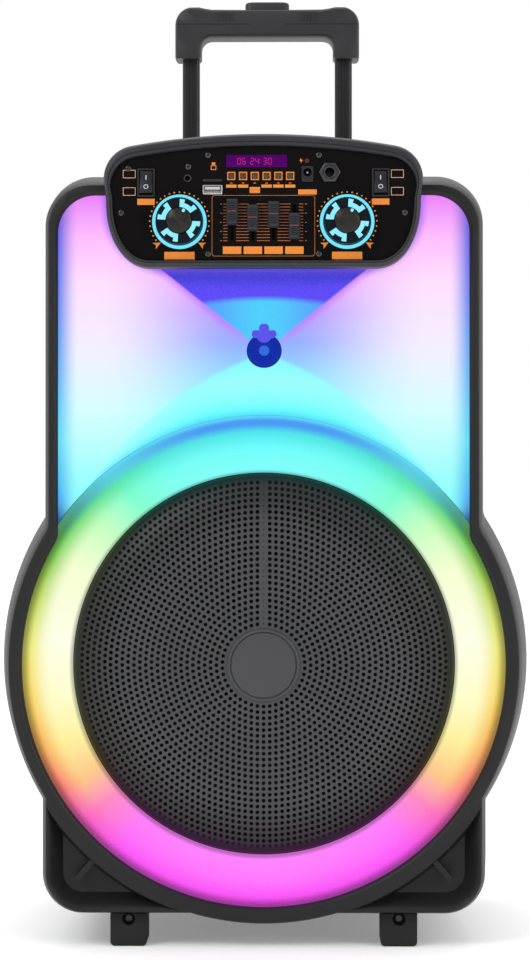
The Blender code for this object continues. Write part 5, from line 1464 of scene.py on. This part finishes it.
def make_sockets():
    """Aux, charging and microphone sockets, the USB port and its card slot."""
    profile = [(1.75, AUX.far - 1), (1.75, AUX.near + 0.5), (2.0, AUX.near + 0.1), (2.7, AUX.near)]
    profile += [(3.0, AUX.near + 0.3), (3.0, PLATE_FACE + 3.0), (4.4, PLATE_FACE + 3.0), (4.4, AUX.far)]
    profile += [(0, AUX.far), (0, AUX.far - 1)]
    aux_shell = turned(profile, AUX.x, AUX.z, 48)
    piece("aux_socket", aux_shell, dark_steel, stands_for=("aux_jack",))

    bore_z = DC.z + 1.2
    hole = [(DC.near - 0.5, 3.5), (DC.near + 0.3, 3.1), (DC.near + 1.0, 2.9), (DC.far - 1.5, 2.9)]
    holes = loft([(depth, circle(DC.x, bore_z, r, 45)) for depth, r in hole])
    socket = carved(plump_box(DC, 1.0, 0.5), holes)
    piece("charging_socket", socket, control_plastic, stands_for=("dc_jack",))
    pin = from_depth(DC.near, (0, 1.6), (0.7, 1.8), (0.95, 2.4)) + [(0.95, DC.far - 1), (0, DC.far - 1)]
    piece("charging_pin", turned(pin, DC.x, bore_z, 24), steel)
    lamp = from_depth(PLATE_FACE, (0, -0.6), (0.9, -0.5), (1.6, -0.1), (1.8, 0.2), (0, 0.2))
    piece("charging_lamp", turned(lamp, DC.x - 0.4, 588.5, 28), lamp_clear)

    near, far = MIC.near, MIC.far
    neck = MIC_NUT.near - 0.4
    barrel = [(3.25, far - 1.5), (3.25, near + 0.7), (3.6, near + 0.15), (4.2, near), (4.6, near + 0.3)]
    barrel += [(4.7, neck + 0.8), (4.7, PLATE_FACE + 3), (MIC.wide / 2 - 0.1, PLATE_FACE + 3)]
    barrel += [(MIC.wide / 2 - 0.1, far), (0, far), (0, far - 1.5)]
    piece("mic_socket", turned(barrel, MIC.x, MIC.z, 56), dark_steel, stands_for=("mic_jack",))
    flats = [(circle(0, 0, MIC_NUT.wide / 2 - inward, 6)) for inward in (0.7, 0.15, 0.0)]
    nut_near, nut_far = MIC_NUT.near, MIC_NUT.far
    depths = (nut_near, nut_near + 0.25, nut_far)
    nut = loft([(d, [(MIC.x + x, MIC.z + z) for x, z in outline]) for d, outline in zip(depths, flats)])
    nut = carved(nut, prism(circle(MIC.x, MIC.z, 4.85, 45), nut_near - 1, nut_far + 1))
    washer = band(circle(MIC.x, MIC.z, 7.0, 45), circle(MIC.x, MIC.z, 4.9, 45), nut_far - 0.02, PLATE_FACE)
    piece("mic_nut", joined(nut, washer), dark_steel, stands_for=("mic_jack_nut",))

    mouth = prism(rounded(USB.x, USB.z, USB.wide - 1.3, USB.high - 1.3, 0.4), USB.near - 1, USB.far - 1.0)
    can = carved(plump_box(USB, 0.8, 0.25), mouth)
    tongue = slab(USB.x, USB.z + 1.2, USB.wide - 3.4, 1.9, USB.near + 0.6, USB.far - 0.9)
    contact = slab(USB.x - 3.6, USB.z + 0.2, 1.3, 0.18, USB.near + 1.0, USB.far - 2)
    contacts = in_row(contact, 4, (2.4, 0, 0))
    piece("usb_can", joined(can, contacts), usb_steel, stands_for=("usb_socket",))
    piece("usb_tongue", tongue, pale_plastic)
    card = prism(rounded(USB.x, CARD_Z, 13.7, 0.9, 0.4), PLATE_FACE + 0.5, PLATE_FACE + 2.4)
    outside, inside = rounded(USB.x, CARD_Z, 14.4, 1.7, 0.7), rounded(USB.x, CARD_Z, 13.4, 0.9, 0.4)
    lip = band(outside, inside, PLATE_FACE - 0.15, PLATE_FACE + 0.6)
    piece("card_slot", joined(card, lip), dark_steel)


# --- Handle, wheels and feet ---
def make_handle():
    """Pull-out handle: two grooved tubes and a moulded grip with thumb ridges, and its release button."""
    for side, name in SIDES:
        tube = Span(f"handle_tube_{name}")
        wide, thick = tube.wide / 2, (tube.far - tube.near) / 2
        outline = rounded(0, 0, 2 * wide, 2 * thick, 3.0, 6)
        groove = [(-1.9, -thick), (-1.5, -thick + 0.7), (1.5, -thick + 0.7), (1.9, -thick)]
        last_low = outline.index(min(p for p in outline if p[1] < -thick + 1e-6))
        outline = outline[:last_low + 1] + groove + outline[last_low + 1:]
        moved = [(tube.x + px, tube.depth + py) for px, py in outline]
        body = upright(moved, tube.z0, tube.z1)
        piece(f"tube_{name}", body, tube_paint, "handle", (f"handle_tube_{name}",))
        sleeve = Span(f"trolley_sleeve_{name}")
        collar = rounded(sleeve.x, sleeve.depth, sleeve.wide + 4, sleeve.far - sleeve.near + 4, 5.0, 6)
        hole = rounded(sleeve.x, sleeve.depth, tube.wide + 1.2, tube.far - tube.near + 1.2, 3.4, 6)
        low, high = TOP_Z - 3, TOP_Z - 0.15
        levels = ((collar, low), (collar, high), (hole, high), (hole, low))
        rings = [[place(x, depth, z) for x, depth in points] for points, z in levels]
        piece(f"tube_collar_{name}", eased(skinned(rings, looped=True), 0.3), grey)

    half, top, low = grip.x1, grip.z1, grip.z0
    near, far = grip.near, grip.far
    inner_half, bar = half - 22.0, top - 26.0
    # The arch is swept through pairs of points, one on its outer edge and one on its inner edge.
    pairs = [((half - 1.2, low), (inner_half + 1.2, low)), ((half, low + 1.4), (inner_half, low + 1.4))]
    for k in range(13):
        inner = arc(inner_half - 9.0, bar - 9.0, 9.0, 90 * k / 12, 90, 1)[0]
        outer = (half, bar - 9.0 + (top - 15.0 - bar + 9.0) * k / 4)
        if k > 4:
            outer = arc(half - 15.0, top - 15.0, 15.0, 78 * (k - 4) / 8, 90, 1)[0]
        pairs.append((outer, inner))
    crown = [(half - 20.0, 0.2, half - 31.5), (half - 25.0, 1.3, half - 33.0)]
    crown += [(half - 31.0, 2.2, half - 37.0), (22.0, 2.4, 22.0), (0.0, 2.4, 0.0)]
    pairs += [((x, top - drop), (inner_x, bar)) for x, drop, inner_x in crown]
    pairs += [((-ox, oz), (-ix, iz)) for (ox, oz), (ix, iz) in reversed(pairs) if ox > 1e-6]
    middle = (near + far) / 2
    skin = [(near, 2.6), (near + 0.8, 1.2), (near + 2.6, 0.3), (near + 5.0, 0.0)]
    skin += [(far - 5.0, 0.0), (far - 2.6, 0.3), (far - 0.8, 1.2), (far, 2.6)]
    groove = [(middle - 0.5, 0.0), (middle - 0.4, 0.4), (middle + 0.4, 0.4), (middle + 0.5, 0.0)]
    rings = []
    for (ox, oz), (ix, iz) in pairs:
        size = math.hypot(ix - ox, iz - oz)
        tx, tz = (ix - ox) / size, (iz - oz) / size
        ring = [place(ox + tx * a, depth, oz + tz * a) for depth, a in skin[:4] + groove + skin[4:]]
        ring += [place(ix - tx * a, depth, iz - tz * a) for depth, a in reversed(skin)]
        rings.append(ring)
    seam_x, seam_wide = (half + 17.0) / 2, half - 13.0
    seam = [slab(side * seam_x, top - 15.2, seam_wide, 0.8, near - 1, near + 0.7) for side in (1, -1)]
    button = Span("release_button")
    wide, thick = button.wide, button.far - button.near
    well = upright(rounded(0, button.depth, wide + 1.2, thick + 1.2, 5.5, 6), button.z0 - 5.4, top + 5)
    body = carved(skinned(rings), well, *seam)
    ridges = []
    for side in (1, -1):
        ridge = prism(rounded(side * 29.5, top - 8.6, 1.3, 7.4, 0.6, 4), near - 0.7, near + 1.6)
        ridges.append(in_row(ridge, 5, (side * 3.0, 0, 0)))
    piece("grip", joined(body, *ridges), grip_plastic, "handle", ("handle_grip",))

    def oval(inward):
        return rounded(button.x, button.depth, wide - 2 * inward, thick - 2 * inward, 5.0, 8)

    levels = [(button.z0, 0.0), (button.z1 - 2.4, 0.0), (button.z1 - 1.0, 0.5), (button.z1 - 0.3, 1.4)]
    levels += [(button.z1, 2.6)]
    rings = [[place(x, depth, z) for x, depth in oval(inward)] for z, inward in levels]
    piece("release_cap", skinned(rings), grey, "release_button", ("release_button",))


def make_wheels():
    """Rubber tyres with a block tread on dished, spoked hubs, and the axle's end caps."""
    for side, name in SIDES:
        span = Span(f"wheel_{name}")
        r, half = span.high / 2, span.wide / 2

        def out(share):
            return span.x + side * half * share

        tyre = [(24.2, 0.8), (27.0, 0.98), (31.5, 1.0), (33.6, 0.84), (34.1, 0.6)]
        tyre += [(34.1, -0.6), (33.6, -0.84), (31.5, -1.0), (27.0, -0.98), (24.2, -0.9)]
        carcass = sideways([(radius, out(share)) for radius, share in tyre], span.depth, span.z, 96)
        tread = []
        for row in (-0.45, 0.0, 0.45):
            mid = span.x + half * row
            rings = []
            for height, inset in ((33.9, 0.0), (r - 0.05, 0.35)):
                wide, deep, z = 2.0 - inset, 1.6 - inset, span.z + height
                rings.append([place(mid + sx * wide, span.depth + sy * deep, z) for sx, sy in CORNERS])
            lug = skinned(rings)
            bmesh.ops.translate(lug, verts=lug.verts, vec=-place(0, span.depth, span.z))
            tread.append(in_wheel(lug, 44, span.depth, span.z, 8.2 * abs(row) / 0.9))
        piece(f"tyre_{name}", joined(carcass, *tread), rubber, f"wheel_{name}", (f"wheel_{name}",))
        hub = [(4.4, -0.9), (24.4, -0.9), (24.4, 0.84), (22.6, 0.9), (21.4, 0.84), (20.2, 0.5), (12.0, 0.44)]
        hub += [(10.4, 0.86), (9.0, 0.9), (8.2, 0.7), (4.4, 0.66)]
        dish = sideways([(radius, out(share)) for radius, share in hub], span.depth, span.z, 80)
        outline = [(out(0.4), -1.6), (out(0.4), 1.6), (out(0.72), 1.1), (out(0.72), -1.1)]
        spoke = upright(outline, 9.6, 21.8)
        bmesh.ops.translate(spoke, verts=spoke.verts, vec=-place(0, 0, 0))
        spokes = in_wheel(spoke, 6, span.depth, span.z, 0.0)
        piece(f"hub_{name}", joined(dish, spokes), grey, f"wheel_{name}")
        nub = [(0, 0.98), (3.0, 0.97), (5.6, 0.9), (6.2, 0.74), (0, 0.74)]
        nub = [(radius, out(share)) for radius, share in nub]
        piece(f"axle_cap_{name}", sideways(nub, span.depth, span.z, 40), steel)


def make_feet():
    """Moulded feet with a recessed screw."""
    for side, name in SIDES:
        span = Span(f"foot_{name}")
        eye_z = span.z1 - 4.0

        def outline(inward):
            half, low, r = span.wide / 2 - inward, span.z0 + inward, 3.4
            points = arc(span.x - half + r, low + r, r, 180, 270, 6)
            points += arc(span.x + half - r, low + r, r, 270, 360, 6)
            return points + [(span.x + half, span.z1), (span.x - half, span.z1)]

        body = plump(outline, span.near, span.far, 1.6)
        hole = from_depth(span.near, (0, -1), (5.6, -1), (4.8, 0.6), (4.7, 5.5), (0, 5.5))
        body = carved(body, turned(hole, span.x, eye_z, 48))
        piece(f"foot_block_{name}", body, rubber, stands_for=(f"foot_{name}",))
        spots = [(span.x, span.near + 5.4, eye_z)]
        piece(f"foot_screw_{name}", at_places(screw_head(3.6, 1.6, 0.9), spots), dark_steel)


def make_port():
    """The bass port with a flared lip."""
    port = Span("bass_port")
    r, back, front = port.wide / 2, port.far, port.near
    profile = [(r - 3.0, front), (r, front), (r, back), (r - 1.2, back), (r - 2.6, back - 1.2)]
    profile += [(r - 4.0, back - 4.0), (r - 4.4, back - 9.0), (r - 4.2, front + 2.0)]
    tube = turned(profile, port.x, port.z, 96)
    piece("port_tube", tube, black, stands_for=("bass_port",))


MAKERS = (make_front_frame, make_rear_cabinet, make_body_screws, make_horn, make_ring, make_grille)
MAKERS += (make_badge, make_tweeter_lens, make_console, make_prints, make_display, make_knobs, make_rockers)
MAKERS += (make_faders, make_buttons, make_sockets, make_handle, make_wheels, make_feet, make_port)
for make in MAKERS:
    make()

# CAD nodes that show as they are, each with its finish.
KEPT = {"axle": steel, "battery": battery_case, "battery_strap": steel, "amplifier_board": circuit}
KEPT |= {"main_board": dark_board, "ring_light_board": circuit, "heatsink": alloy, "inner_baffle": fibreboard}
KEPT |= {"tweeter_driver": ferrite, "woofer_magnet": ferrite, "woofer_basket": dark_steel}
KEPT |= {"woofer_surround": rubber, "woofer_cone": paper, "dust_cap": paper, "trolley_bracket": dark_steel}
KEPT |= {"trolley_sleeve_left": steel, "trolley_sleeve_right": steel}
for name, finish in KEPT.items():
    node = bpy.data.objects[name]
    node.data.materials.clear()
    node.data.materials.append(finish.material)


# --- Floor, light and camera ---
CAMERA_AT, CAMERA_AIM, CAMERA_LENS = (0.025, -2.12465, 0.341), (0.0011, -0.12465, 0.351), 100.0
LIGHT_AIM = (0.0, 0.0, 0.35)


def make_floor():
    finish = Finish("studio_floor", Specular_IOR_Level=0.25)
    cloud = finish.noise(400.0, 3.0)
    finish.set(Base_Color=finish.mix(cloud, (0.93,) * 3, (0.955,) * 3), Roughness=cloud * 0.1 + 0.55)
    finish.set(Emission_Color=(1.0, 1.0, 1.0), Emission_Strength=0.22)
    bm = bmesh.new()
    bmesh.ops.create_grid(bm, x_segments=8, y_segments=8, size=40.0)
    floor = loose(bm, "studio_floor")
    floor.data.materials.append(finish.material)


def soft_light(name, at, size, power):
    data = bpy.data.lights.new(name, "AREA")
    data.shape = "RECTANGLE"
    data.size, data.size_y = size
    data.energy = power
    lamp = bpy.data.objects.new(name, data)
    lamp.location = at
    lamp.rotation_euler = (Vector(LIGHT_AIM) - Vector(at)).to_track_quat("-Z", "Y").to_euler()
    bpy.context.scene.collection.objects.link(lamp)


def make_studio():
    """White surroundings, three soft lights and the camera."""
    make_floor()
    world = bpy.data.worlds.new("studio")
    bpy.context.scene.world = world
    world.use_nodes = True
    background = world.node_tree.nodes["Background"]
    nodes = Nodes(world.node_tree)
    heading = nodes.add("ShaderNodeTexCoord", output=0)
    toward = nodes.add("ShaderNodeSeparateXYZ", inputs={0: heading}, output=1)
    settings = {"interpolation_type": "SMOOTHSTEP"}
    front_side = nodes.add("ShaderNodeMapRange", settings, {0: toward, 1: -0.45, 2: -0.95})
    tones = {0: front_side, 6: (1.0,) * 3, 7: (0.4,) * 3}
    sky = nodes.add("ShaderNodeMix", {"data_type": "RGBA"}, tones, output=2)
    nodes.feed(background.inputs["Color"], sky)
    background.inputs["Strength"].default_value = 1.0
    soft_light("key_light", (-1.5, -1.9, 1.9), (0.9, 0.9), 22.0)
    soft_light("fill_light", (1.8, -1.5, 1.2), (0.8, 1.2), 12.0)
    soft_light("top_light", (0.0, 0.3, 2.2), (1.6, 0.8), 16.0)
    data = bpy.data.cameras.new("camera")
    data.lens, data.sensor_width = CAMERA_LENS, 36.0
    camera = bpy.data.objects.new("camera", data)
    camera.location = CAMERA_AT
    camera.rotation_euler = (Vector(CAMERA_AIM) - camera.location).to_track_quat("-Z", "Y").to_euler()
    bpy.context.scene.collection.objects.link(camera)
    bpy.context.scene.camera = camera
    bpy.context.scene.view_settings.view_transform = "Standard"


make_studio()
